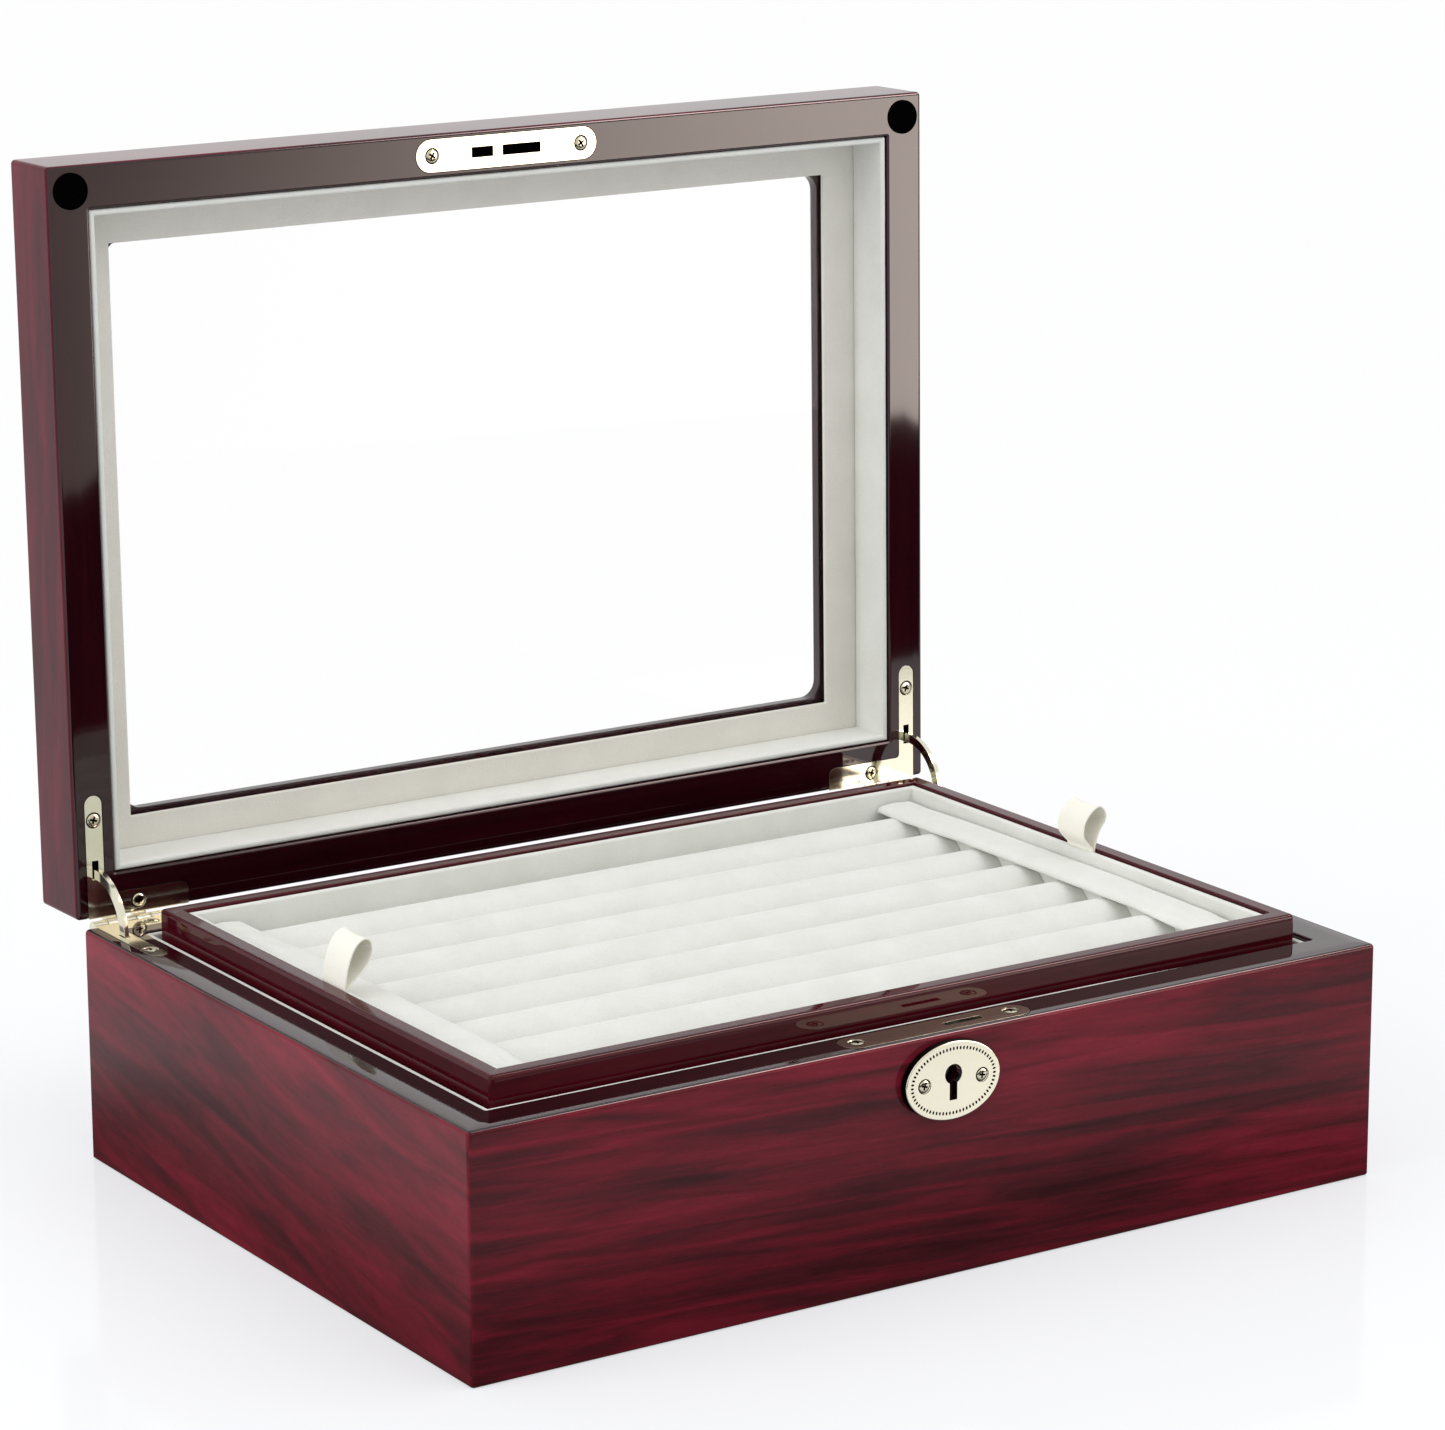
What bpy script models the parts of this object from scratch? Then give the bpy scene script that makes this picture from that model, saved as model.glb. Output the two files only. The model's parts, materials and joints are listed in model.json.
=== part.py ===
"""Glazed cufflink box: a mitred base and lid on two stay hinges, a box lock and a lift-out tray of velvet rolls.

Metres, +Z up, origin at the centre of the underside, front towards -Y. The lid stands open.
"""

import math

import bmesh
import bpy
from mathutils import Matrix, Vector

# Base and lid, outside sizes
BOX_WIDTH = 0.286
BOX_DEPTH = 0.2087
BASE_HEIGHT = 0.0664
LID_HEIGHT = 0.0225
BOARD = 0.0122
EDGE_ROUND = 0.0012
EDGE_SEGMENTS = 3
LID_GAP = 0.0004

# Clearances
FIT = 0.00025
MITRE_GAP = 0.00015
OVERRUN = 0.002

# Inside the base
PANEL_THICK = 0.005
PAD_THICK = 0.002
LEDGE_WIDTH = 0.006
BASE_LINING_THICK = 0.0015
BASE_LINING_DROP = 0.0012

# Lid opening and glazing
LIP_THICK = 0.0036
WINDOW_SIDE_MARGIN = 0.0252
WINDOW_END_MARGIN = 0.0243
WINDOW_CORNER = 0.005
GLASS_THICK = 0.0018
FRAME_THICK = 0.0014
LID_LINING_THICK = 0.0017
LID_LINING_DROP = 0.0006

# Lid hinges: the axis lies behind the back face, below the rim
OPEN_ANGLE = math.radians(90.8)
AXIS_BEHIND = 0.0022
AXIS_BELOW = 0.0012
BARREL_RADIUS = 0.0019
BARREL_LENGTH = 0.022
KNUCKLE_COUNT = 5
KNUCKLE_GAP = 0.0003
PIN_RADIUS = 0.0009
PIN_CLEARANCE = 0.0003
LEAF_THICK = 0.0013
LEAF_TONGUE_LAP = 0.0006
SIDE_ARM_WIDTH = 0.0052
SIDE_ARM_LENGTH = 0.035
BACK_ARM_WIDTH = 0.0066
BACK_ARM_LENGTH = 0.031
BACK_ARM_CORNER = 0.0022
LEAF_INSIDE_CORNER = 0.0012
LEAF_EDGE_CORNER = 0.0004
SIDE_SCREW_FROM_TIP = 0.007
BACK_SCREW_FROM_END = 0.0155

# Curved stays, turned about the hinge axis
STAY_RADIUS = 0.015
STAY_WIDTH = 0.0028
STAY_THICK = 0.0014
STAY_BASE_OVERLAP = math.radians(8.0)
STAY_LID_OVERLAP = math.radians(20.5)
STAY_NIB_LENGTH = math.radians(5.0)
STAY_NIB_DEPTH = 0.0012
STAY_NIB_BACK_SET = math.radians(1.0)
STAY_SIDE_CLEARANCE = 0.0003
STAY_SLOT_SPARE = 0.0019
STAY_END_CLEARANCE = 0.0005
STAY_SLOT_CLEARANCE = 0.0004

# Screws
SCREW_HEAD_RADIUS = 0.0021
SCREW_HEAD_HEIGHT = 0.0011
SCREW_HEAD_LAND = 0.0002
SCREW_SHANK_RADIUS = 0.001
SCREW_LENGTH = 0.0085
SCREW_TIP = 0.0016
SMALL_HEAD_RADIUS = 0.0018
SMALL_HEAD_HEIGHT = 0.0009
SMALL_SCREW_LENGTH = 0.0048
SMALL_SCREW_TIP = 0.001
SMALL_SHANK_RADIUS = 0.0008

# Lock
LOCK_PLATE_LENGTH = 0.059
LOCK_PLATE_WIDTH = 0.0092
LOCK_PLATE_THICK = 0.0012
LOCK_SCREW_SPREAD = 0.0244
FACE_SLOT_LEFT = 0.003
FACE_SLOT_RIGHT = 0.015
FACE_SLOT_WIDTH = 0.0022
STRIKE_SHORT_LEFT = -0.0116
STRIKE_SHORT_RIGHT = -0.0046
STRIKE_LONG_LEFT = -0.0015
STRIKE_LONG_RIGHT = 0.011
STRIKE_SLOT_WIDTH = 0.003
STRIKE_POCKET_DEPTH = 0.0078
BOLT_PIVOT_X = -0.0066
BOLT_PIVOT_BELOW = 0.015
BOLT_INNER_RADIUS = 0.0186
BOLT_OUTER_RADIUS = 0.022
BOLT_TIP_ANGLE = math.radians(37.5)
BOLT_HEEL_ANGLE = math.radians(-14.0)
BOLT_ARM_ANGLE = math.radians(-19.0)
BOLT_THICK = 0.0018
BOLT_HUB_RADIUS = 0.0032
BOLT_HUB_THICK = 0.0027
BOLT_PIN_RADIUS = 0.0014
BOLT_PIN_CLEARANCE = 0.0003
CASE_WALL = 0.001
CASE_CAVITY = 0.0032
CASE_CLEARANCE = 0.0004
CASE_BELOW = 0.0246

# Escutcheon and keyhole
ESCUTCHEON_WIDTH = 0.0298
ESCUTCHEON_HEIGHT = 0.0211
ESCUTCHEON_THICK = 0.0023
ESCUTCHEON_ROUND = 0.0008
ESCUTCHEON_DROP = 0.0124
ESCUTCHEON_SCREW_SPREAD = 0.0091
KEYHOLE_RADIUS = 0.0023
KEYHOLE_RISE = 0.0018
KEYHOLE_STEM = 0.0016
KEYHOLE_STEM_LENGTH = 0.007

# Bumpers
BUMPER_RADIUS = 0.005
BUMPER_PROUD = 0.0008
BUMPER_INSET = 0.0069
BUMPER_ROUND = 0.0002

# Tray
TRAY_CLEARANCE = 0.0016
TRAY_HEIGHT = 0.0305
TRAY_RISE = 0.007
TRAY_WALL = 0.005
TRAY_ROUND = 0.0012
TRAY_FLOOR_THICK = 0.003
TRAY_FLOOR_UP = 0.001
TRAY_LINING_THICK = 0.002
TRAY_LINING_DROP = 0.0008
TRAY_SEAT_GAP = 0.0003

# Rolls and bolsters
ROLL_COUNT = 8
ROLL_GAP = 0.0003
ROLL_END_GAP = 0.0003
ROLL_END_ROUND = 0.0025
BOLSTER_WIDTH = 0.0156
BOLSTER_DROP = 0.0032
BOLSTER_SHOULDER = 0.0022
BOLSTER_CROWN = 0.001

# Ribbon pull loops
RIBBON_WIDTH = 0.012
RIBBON_THICK = 0.00045
LOOP_RISE = 0.0126
LOOP_LEFT_WIDTH = 0.0064
LOOP_RIGHT_WIDTH = 0.0078
LOOP_TAIL = 0.0105
LOOP_NECK_SHARE = 0.12
LOOP_TIGHTNESS = 1.4
LOOP_LEFT_LEAN = 0.0062
LOOP_RIGHT_LEAN = 0.0026
POCKET_CLEARANCE = 0.0003

# Facet counts
ARC_STEPS = 6
ROUND_STEPS = 24
SCREW_STEPS = 14
ROLL_STEPS = 24
OVAL_STEPS = 40
LOOP_STEPS = 22

# Places worked out from the sizes above
HALF_WIDTH = BOX_WIDTH / 2
HALF_DEPTH = BOX_DEPTH / 2
AXIS_Y = HALF_DEPTH + AXIS_BEHIND
AXIS_Z = BASE_HEIGHT - AXIS_BELOW
LID_LOW = BASE_HEIGHT + LID_GAP
LID_HIGH = LID_LOW + LID_HEIGHT
TRAY_TOP = BASE_HEIGHT + TRAY_RISE
TRAY_LOW = TRAY_TOP - TRAY_HEIGHT
TRAY_WIDTH = BOX_WIDTH - 2 * (BOARD + FIT + BASE_LINING_THICK + TRAY_CLEARANCE)
TRAY_DEPTH = BOX_DEPTH - 2 * (BOARD + FIT + BASE_LINING_THICK + TRAY_CLEARANCE)
LEDGE_TOP = TRAY_LOW - TRAY_SEAT_GAP
RIM_CENTRE_Y = -HALF_DEPTH + BOARD / 2
ARM_X = HALF_WIDTH - BOARD / 2
LEFT = -1
RIGHT = 1

# Linear colour, roughness, metallic and alpha of each finish
FINISHES = {
    "lacquered_rosewood": ((0.10, 0.008, 0.014), 0.12, 0.0, 1.0),
    "plywood": ((0.42, 0.27, 0.15), 0.7, 0.0, 1.0),
    "ivory_velvet": ((0.80, 0.78, 0.71), 0.95, 0.0, 1.0),
    "cream_ribbon": ((0.83, 0.79, 0.66), 0.6, 0.0, 1.0),
    "pale_gold_plate": ((0.78, 0.68, 0.50), 0.16, 1.0, 1.0),
    "zinc_steel": ((0.55, 0.55, 0.56), 0.35, 1.0, 1.0),
    "clear_glass": ((0.9, 0.95, 0.95), 0.03, 0.0, 0.2),
    "black_rubber": ((0.01, 0.01, 0.01), 0.7, 0.0, 1.0),
}

for old in list(bpy.data.objects):
    bpy.data.objects.remove(old, do_unlink=True)

PARTS = bpy.data.collections.new("cufflink_box")
CUTTERS = bpy.data.collections.new("cutters")
bpy.context.scene.collection.children.link(PARTS)
bpy.context.scene.collection.children.link(CUTTERS)


# Helpers that make objects


def finish(obj, name):
    """Give an object its own material in one of the finishes."""
    colour, roughness, metallic, alpha = FINISHES[name]
    made = bpy.data.materials.new(obj.name + "_" + name)
    made.use_nodes = True
    shader = made.node_tree.nodes["Principled BSDF"]
    shader.inputs["Base Color"].default_value = (*colour, 1.0)
    shader.inputs["Roughness"].default_value = roughness
    shader.inputs["Metallic"].default_value = metallic
    shader.inputs["Alpha"].default_value = alpha
    made.diffuse_color = (*colour, alpha)
    obj.data.materials.clear()
    obj.data.materials.append(made)
    return obj


def new_object(name, mesh, cutter=False):
    obj = bpy.data.objects.new(name, mesh)
    if cutter:
        CUTTERS.objects.link(obj)
        obj.hide_render = True
        obj.display_type = "WIRE"
    else:
        PARTS.objects.link(obj)
    return obj


def block(name, low, high, cutter=False):
    """A box between two corners."""
    low = Vector(low)
    high = Vector(high)
    bm = bmesh.new()
    bmesh.ops.create_cube(bm, size=1)
    bmesh.ops.scale(bm, vec=high - low, verts=bm.verts)
    bmesh.ops.translate(bm, vec=(low + high) / 2, verts=bm.verts)
    mesh = bpy.data.meshes.new(name)
    bm.to_mesh(mesh)
    bm.free()
    return new_object(name, mesh, cutter)


def round_edges(obj, radius, chosen, segments=EDGE_SEGMENTS):
    """Round the edges that chosen(edge) picks."""
    bm = bmesh.new()
    bm.from_mesh(obj.data)
    weights = bm.edges.layers.float.new("bevel_weight_edge")
    for edge in bm.edges:
        edge[weights] = 1.0 if chosen(edge) else 0.0
    bm.to_mesh(obj.data)
    bm.free()
    bevel = obj.modifiers.new("round", "BEVEL")
    bevel.width = radius
    bevel.segments = segments
    bevel.limit_method = "WEIGHT"
    return obj


def fillet(points, radii, steps=ARC_STEPS):
    """A closed outline whose corners are rounded, each by its own radius."""
    outline = []
    count = len(points)
    for index, (point, radius) in enumerate(zip(points, radii)):
        corner = Vector(point)
        if not radius:
            outline.append(corner)
            continue
        before = (Vector(points[index - 1]) - corner).normalized()
        after = (Vector(points[(index + 1) % count]) - corner).normalized()
        half = before.angle(after) / 2
        centre = corner + (before + after).normalized() * (radius / math.sin(half))
        start = corner + before * (radius / math.tan(half)) - centre
        end = corner + after * (radius / math.tan(half)) - centre
        turn = start.angle_signed(end)
        for step in range(steps + 1):
            outline.append(centre + Matrix.Rotation(-turn * step / steps, 2) @ start)
    return outline


def rectangle(left, right, low, high, radius=0.0, steps=ARC_STEPS):
    points = [(left, low), (right, low), (right, high), (left, high)]
    return fillet(points, [radius] * len(points), steps)


def arc(radius, start, end, steps, centre=(0.0, 0.0)):
    return [
        Vector(
            (
                centre[0] + radius * math.cos(start + (end - start) * step / steps),
                centre[1] + radius * math.sin(start + (end - start) * step / steps),
            )
        )
        for step in range(steps + 1)
    ]


def plate(name, outlines, thick, cutter=False):
    """A flat piece in the XY plane, centred on it, from an outer outline and the outlines of its holes."""
    curve = bpy.data.curves.new(name, "CURVE")
    curve.dimensions = "2D"
    curve.fill_mode = "BOTH"
    curve.extrude = thick / 2
    for outline in outlines:
        spline = curve.splines.new("POLY")
        spline.points.add(len(outline) - 1)
        for target, point in zip(spline.points, outline):
            target.co = (point[0], point[1], 0.0, 1.0)
        spline.use_cyclic_u = True
    drawn = bpy.data.objects.new(name + "_outline", curve)
    bpy.context.scene.collection.objects.link(drawn)
    shown = drawn.evaluated_get(bpy.context.evaluated_depsgraph_get())
    mesh = bpy.data.meshes.new_from_object(shown)
    mesh.name = name
    bpy.data.objects.remove(drawn, do_unlink=True)
    bpy.data.curves.remove(curve)
    bm = bmesh.new()
    bm.from_mesh(mesh)
    bmesh.ops.remove_doubles(bm, verts=bm.verts, dist=WELD)
    bmesh.ops.recalc_face_normals(bm, faces=bm.faces)
    bm.to_mesh(mesh)
    bm.free()
    return new_object(name, mesh, cutter)


def turned(name, profile, steps, cutter=False):
    """A shape turned about Z, from a profile at +X that runs top to bottom."""
    mesh = bpy.data.meshes.new(name)
    points = [(x, 0.0, z) for x, z in profile]
    edges = [(index, index + 1) for index in range(len(points) - 1)]
    mesh.from_pydata(points, edges, [])
    obj = new_object(name, mesh, cutter)
    spin = obj.modifiers.new("turn", "SCREW")
    spin.axis = "Z"
    spin.steps = steps
    spin.render_steps = steps
    spin.use_merge_vertices = True
    spin.merge_threshold = WELD
    spin.use_smooth_shade = True
    return obj


def combine(obj, other, operation="DIFFERENCE"):
    step = obj.modifiers.new(operation.lower(), "BOOLEAN")
    step.operation = operation
    step.solver = "EXACT"
    step.object = other
    return obj


def stand(obj, x=0.0, y=0.0, z=0.0, turn=(0.0, 0.0, 0.0)):
    obj.location = (x, y, z)
    obj.rotation_euler = turn
    return obj


def pivot(name, x, y, z):
    """An empty on a joint's axis."""
    empty = bpy.data.objects.new(name, None)
    empty.empty_display_size = OVERRUN
    PARTS.objects.link(empty)
    empty.location = (x, y, z)
    return empty


def hang(obj, holder):
    """Hold an object, placed in the frame of the closed box, on a pivot."""
    obj.location = Vector(obj.location) - Vector(holder.location)
    obj.parent = holder
    return obj


WELD = 0.00001
FACING_FRONT = (math.pi / 2, 0.0, 0.0)
FACING_DOWN = (math.pi, 0.0, 0.0)
ON_EDGE_ALONG_X = (math.pi / 2, 0.0, math.pi / 2)
ALONG_X = (0.0, math.pi / 2, 0.0)


# Mitred frames: base, lid and tray


def mitre_wedge(name, side, width, depth, reach, low, high):
    """The part of a frame that belongs to one board, between its two mitres."""
    out = OVERRUN
    if side in ("front", "back"):
        along, across = width / 2, depth / 2
    else:
        along, across = depth / 2, width / 2
    outline = [
        (-along - out + MITRE_GAP, -across - out),
        (along + out - MITRE_GAP, -across - out),
        (along - reach - MITRE_GAP, -across + reach),
        (-along + reach + MITRE_GAP, -across + reach),
    ]
    quarter_turns = {"front": 0, "right": 1, "back": 2, "left": 3}[side]
    wedge = plate(name, [outline], high - low + 2 * out, cutter=True)
    return stand(wedge, z=(low + high) / 2, turn=(0.0, 0.0, quarter_turns * math.pi / 2))


def mitred_frame(prefix, suffix, width, depth, low, high, reach, rounding, rounded, openings):
    """Four boards cut from one rounded block, hollowed by the openings and split at the mitres."""
    boards = {}
    for side in ("front", "back", "left", "right"):
        name = prefix + "_" + side + "_" + suffix
        board = block(name, (-width / 2, -depth / 2, low), (width / 2, depth / 2, high))
        round_edges(board, rounding, rounded)
        for opening in openings:
            combine(board, opening)
        wedge = mitre_wedge(name + "_mitre", side, width, depth, reach, low, high)
        combine(board, wedge, "INTERSECT")
        finish(board, "lacquered_rosewood")
        boards[side] = board
    return boards


def is_upright(edge):
    return abs(edge.verts[0].co.z - edge.verts[1].co.z) > WELD


def is_above(edge, height):
    return all(vert.co.z > height for vert in edge.verts)


# Screws and their seats


def screw_profile(head, head_height, land, shank, length, tip, grow):
    """Half section of a countersunk screw; grow widens it into the cutter for its seat."""
    top = OVERRUN if grow else 0.0
    return [
        (0.0, top),
        (head + grow, top),
        (head + grow, -land),
        (shank + grow, -head_height - grow),
        (shank + grow, -length + tip),
        (0.0, -length - grow),
    ]


def screw(name, place, turn, small=False, holder=None):
    """A screw and the cutter for its hole in the fitting and in the wood."""
    if small:
        sizes = (SMALL_HEAD_RADIUS, SMALL_HEAD_HEIGHT, SCREW_HEAD_LAND, SMALL_SHANK_RADIUS)
        sizes += (SMALL_SCREW_LENGTH, SMALL_SCREW_TIP)
    else:
        sizes = (SCREW_HEAD_RADIUS, SCREW_HEAD_HEIGHT, SCREW_HEAD_LAND, SCREW_SHANK_RADIUS)
        sizes += (SCREW_LENGTH, SCREW_TIP)
    body = turned(name, screw_profile(*sizes, 0.0), SCREW_STEPS)
    seat = turned(name + "_seat", screw_profile(*sizes, FIT), SCREW_STEPS, cutter=True)
    for obj in (body, seat):
        stand(obj, *place, turn)
        if holder:
            hang(obj, holder)
    finish(body, "pale_gold_plate")
    return seat


# Base


def frame_inside(inset):
    """Left, right, front and back limits of the space between the base's boards, less an inset."""
    side = HALF_WIDTH - BOARD - inset
    end = HALF_DEPTH - BOARD - inset
    return -side, side, -end, end


def base_parts():
    inside = rectangle(*frame_inside(0.0))
    cavity = plate("base_cavity", [inside], BASE_HEIGHT + 2 * OVERRUN, cutter=True)
    stand(cavity, z=BASE_HEIGHT / 2)
    boards = mitred_frame(
        "base",
        "board",
        BOX_WIDTH,
        BOX_DEPTH,
        0.0,
        BASE_HEIGHT,
        BOARD + OVERRUN,
        EDGE_ROUND,
        lambda edge: is_upright(edge) or is_above(edge, BASE_HEIGHT / 2),
        [cavity],
    )
    snug = rectangle(*frame_inside(FIT))
    panel = plate("base_bottom_panel", [snug], PANEL_THICK)
    stand(panel, z=PANEL_THICK / 2)
    finish(panel, "plywood")

    # The lining's lower part is thicker, and its step carries the tray
    lining_low = PANEL_THICK + FIT
    lining_high = BASE_HEIGHT - BASE_LINING_DROP
    around_pad = rectangle(*frame_inside(FIT + LEDGE_WIDTH))
    lining = plate("base_lining", [snug, around_pad], lining_high - lining_low)
    stand(lining, z=(lining_low + lining_high) / 2)
    around_tray = rectangle(*frame_inside(FIT + BASE_LINING_THICK))
    tray_room = plate("base_lining_tray_room", [around_tray], lining_high - LEDGE_TOP + OVERRUN, cutter=True)
    stand(tray_room, z=(LEDGE_TOP + lining_high + OVERRUN) / 2)
    combine(lining, tray_room)
    finish(lining, "ivory_velvet")

    pad_outline = rectangle(*frame_inside(FIT + LEDGE_WIDTH + FIT))
    pad = plate("base_floor_pad", [pad_outline], PAD_THICK)
    stand(pad, z=lining_low + PAD_THICK / 2)
    finish(pad, "ivory_velvet")
    return boards


# Lock


def keyhole_outline():
    """A round hole over a narrow stem, about the centre of the escutcheon."""
    half_stem = KEYHOLE_STEM / 2
    meet = math.asin(half_stem / KEYHOLE_RADIUS)
    start = -math.pi / 2 + meet
    end = 3 * math.pi / 2 - meet
    outline = arc(KEYHOLE_RADIUS, start, end, OVAL_STEPS // 2, (0.0, KEYHOLE_RISE))
    outline.append(Vector((-half_stem, KEYHOLE_RISE - KEYHOLE_STEM_LENGTH)))
    outline.append(Vector((half_stem, KEYHOLE_RISE - KEYHOLE_STEM_LENGTH)))
    return outline


def oval(width, height, steps=OVAL_STEPS):
    full = 2 * math.pi
    return [
        Vector((width / 2 * math.cos(full * step / steps), height / 2 * math.sin(full * step / steps)))
        for step in range(steps)
    ]


def bolt_outline():
    """Side view of the hook bolt about its pivot, drawn back below the face plate."""
    hook = arc(BOLT_OUTER_RADIUS, BOLT_HEEL_ANGLE, BOLT_TIP_ANGLE, 2 * ARC_STEPS)
    hook += arc(BOLT_INNER_RADIUS, BOLT_TIP_ANGLE, BOLT_HEEL_ANGLE, 2 * ARC_STEPS)
    spread = BOLT_HEEL_ANGLE - BOLT_ARM_ANGLE
    lean = math.asin((BOLT_OUTER_RADIUS - BOLT_INNER_RADIUS) / 2 / BOLT_HUB_RADIUS)
    hub = arc(BOLT_HUB_RADIUS, BOLT_ARM_ANGLE + lean, BOLT_ARM_ANGLE + 2 * math.pi - lean, 2 * ARC_STEPS)
    foot = arc(BOLT_OUTER_RADIUS, BOLT_ARM_ANGLE - spread, BOLT_HEEL_ANGLE, 2)
    return hook + hub + foot[:-1]


def lock_parts(front_board):
    pivot_z = BASE_HEIGHT - BOLT_PIVOT_BELOW
    case_left = BOLT_PIVOT_X - BOLT_HUB_RADIUS - CASE_CLEARANCE - CASE_WALL
    case_right = BOLT_PIVOT_X + BOLT_OUTER_RADIUS + CASE_CLEARANCE + CASE_WALL
    case_low = BASE_HEIGHT - CASE_BELOW - CASE_WALL
    case_high = BASE_HEIGHT - LOCK_PLATE_THICK - FIT
    half_case = CASE_CAVITY / 2 + CASE_WALL
    near = RIM_CENTRE_Y - half_case
    far = RIM_CENTRE_Y + half_case

    case = block("lock_case", (case_left, near, case_low), (case_right, far, case_high))
    hollow = block(
        "lock_case_hollow",
        (case_left + CASE_WALL, near + CASE_WALL, case_low + CASE_WALL),
        (case_right - CASE_WALL, far - CASE_WALL, case_high + OVERRUN),
        cutter=True,
    )
    combine(case, hollow)
    pin_length = 2 * half_case - CASE_WALL
    pin_profile = [(0.0, pin_length / 2), (BOLT_PIN_RADIUS, pin_length / 2)]
    pin_profile += [(BOLT_PIN_RADIUS, -pin_length / 2), (0.0, -pin_length / 2)]
    pin = turned("lock_case_pin", pin_profile, SCREW_STEPS, cutter=True)
    stand(pin, BOLT_PIVOT_X, RIM_CENTRE_Y, pivot_z, FACING_FRONT)
    combine(case, pin, "UNION")

    mortise = block(
        "lock_mortise",
        (case_left - FIT, near - FIT, case_low - FIT),
        (case_right + FIT, far + FIT, BASE_HEIGHT + OVERRUN),
        cutter=True,
    )
    combine(front_board, mortise)

    # Hook bolt, with a thicker hub that the case walls guide
    lock_pivot = pivot("lock_pivot", BOLT_PIVOT_X, RIM_CENTRE_Y, pivot_z)
    bolt = plate("lock_bolt", [bolt_outline()], BOLT_THICK)
    hub_profile = [(0.0, BOLT_HUB_THICK / 2), (BOLT_HUB_RADIUS, BOLT_HUB_THICK / 2)]
    hub_profile += [(BOLT_HUB_RADIUS, -BOLT_HUB_THICK / 2), (0.0, -BOLT_HUB_THICK / 2)]
    hub = turned("lock_bolt_hub", hub_profile, ROUND_STEPS, cutter=True)
    bore_radius = BOLT_PIN_RADIUS + BOLT_PIN_CLEARANCE
    bore_profile = [(0.0, BOLT_HUB_THICK), (bore_radius, BOLT_HUB_THICK)]
    bore_profile += [(bore_radius, -BOLT_HUB_THICK), (0.0, -BOLT_HUB_THICK)]
    bore = turned("lock_bolt_bore", bore_profile, SCREW_STEPS, cutter=True)
    for obj in (bolt, hub, bore):
        stand(obj, BOLT_PIVOT_X, RIM_CENTRE_Y, pivot_z, FACING_FRONT)
        hang(obj, lock_pivot)
    combine(bolt, hub, "UNION")
    combine(bolt, bore)
    finish(bolt, "zinc_steel")

    # Face plate, let in flush with the rim
    face_z = BASE_HEIGHT - LOCK_PLATE_THICK / 2
    half_length = LOCK_PLATE_LENGTH / 2
    half_width = LOCK_PLATE_WIDTH / 2
    outline = rectangle(-half_length, half_length, -half_width, half_width, half_width)
    slot = rectangle(FACE_SLOT_LEFT, FACE_SLOT_RIGHT, -FACE_SLOT_WIDTH / 2, FACE_SLOT_WIDTH / 2)
    face = plate("lock_face_plate", [outline, slot], LOCK_PLATE_THICK)
    stand(face, 0.0, RIM_CENTRE_Y, face_z)
    recess = let_in("lock_face_recess", outline, half_length, half_width)
    stand(recess, 0.0, RIM_CENTRE_Y, BASE_HEIGHT)
    combine(front_board, recess)
    for side, word in ((LEFT, "left"), (RIGHT, "right")):
        place = (side * LOCK_SCREW_SPREAD, RIM_CENTRE_Y, BASE_HEIGHT)
        seat = screw("lock_plate_screw_" + word, place, (0.0, 0.0, 0.0))
        combine(face, seat)
        combine(front_board, seat)
    finish(face, "pale_gold_plate")

    # Escutcheon on the front face
    centre_z = BASE_HEIGHT - ESCUTCHEON_DROP
    back_y = -HALF_DEPTH - FIT
    shield = plate("escutcheon", [oval(ESCUTCHEON_WIDTH, ESCUTCHEON_HEIGHT)], ESCUTCHEON_THICK)
    half_thick = ESCUTCHEON_THICK / 2
    round_edges(
        shield,
        ESCUTCHEON_ROUND,
        lambda edge: is_above(edge, 0.0) and edge.calc_face_angle(0.0) > math.radians(45.0),
    )
    stand(shield, 0.0, back_y - half_thick, centre_z, FACING_FRONT)
    keyhole = plate("keyhole", [keyhole_outline()], 2 * BOARD, cutter=True)
    key_reach = RIM_CENTRE_Y - CASE_CAVITY / 2 + CASE_CLEARANCE - BOARD
    stand(keyhole, 0.0, key_reach, centre_z, FACING_FRONT)
    for obj in (shield, front_board, case):
        combine(obj, keyhole)
    for side, word in ((LEFT, "left"), (RIGHT, "right")):
        place = (side * ESCUTCHEON_SCREW_SPREAD, back_y - ESCUTCHEON_THICK, centre_z)
        seat = screw("escutcheon_screw_" + word, place, FACING_FRONT, small=True)
        combine(shield, seat)
        combine(front_board, seat)
    finish(shield, "pale_gold_plate")
    finish(case, "zinc_steel")


def let_in(name, outline, half_length, half_width):
    """Cutter for the recess of a plate, a fit wider all round and a fit deeper."""
    grown = [
        Vector((point.x * (half_length + FIT) / half_length, point.y * (half_width + FIT) / half_width))
        for point in outline
    ]
    return plate(name, [grown], 2 * (LOCK_PLATE_THICK + FIT), cutter=True)


# Hinges and stays


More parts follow.
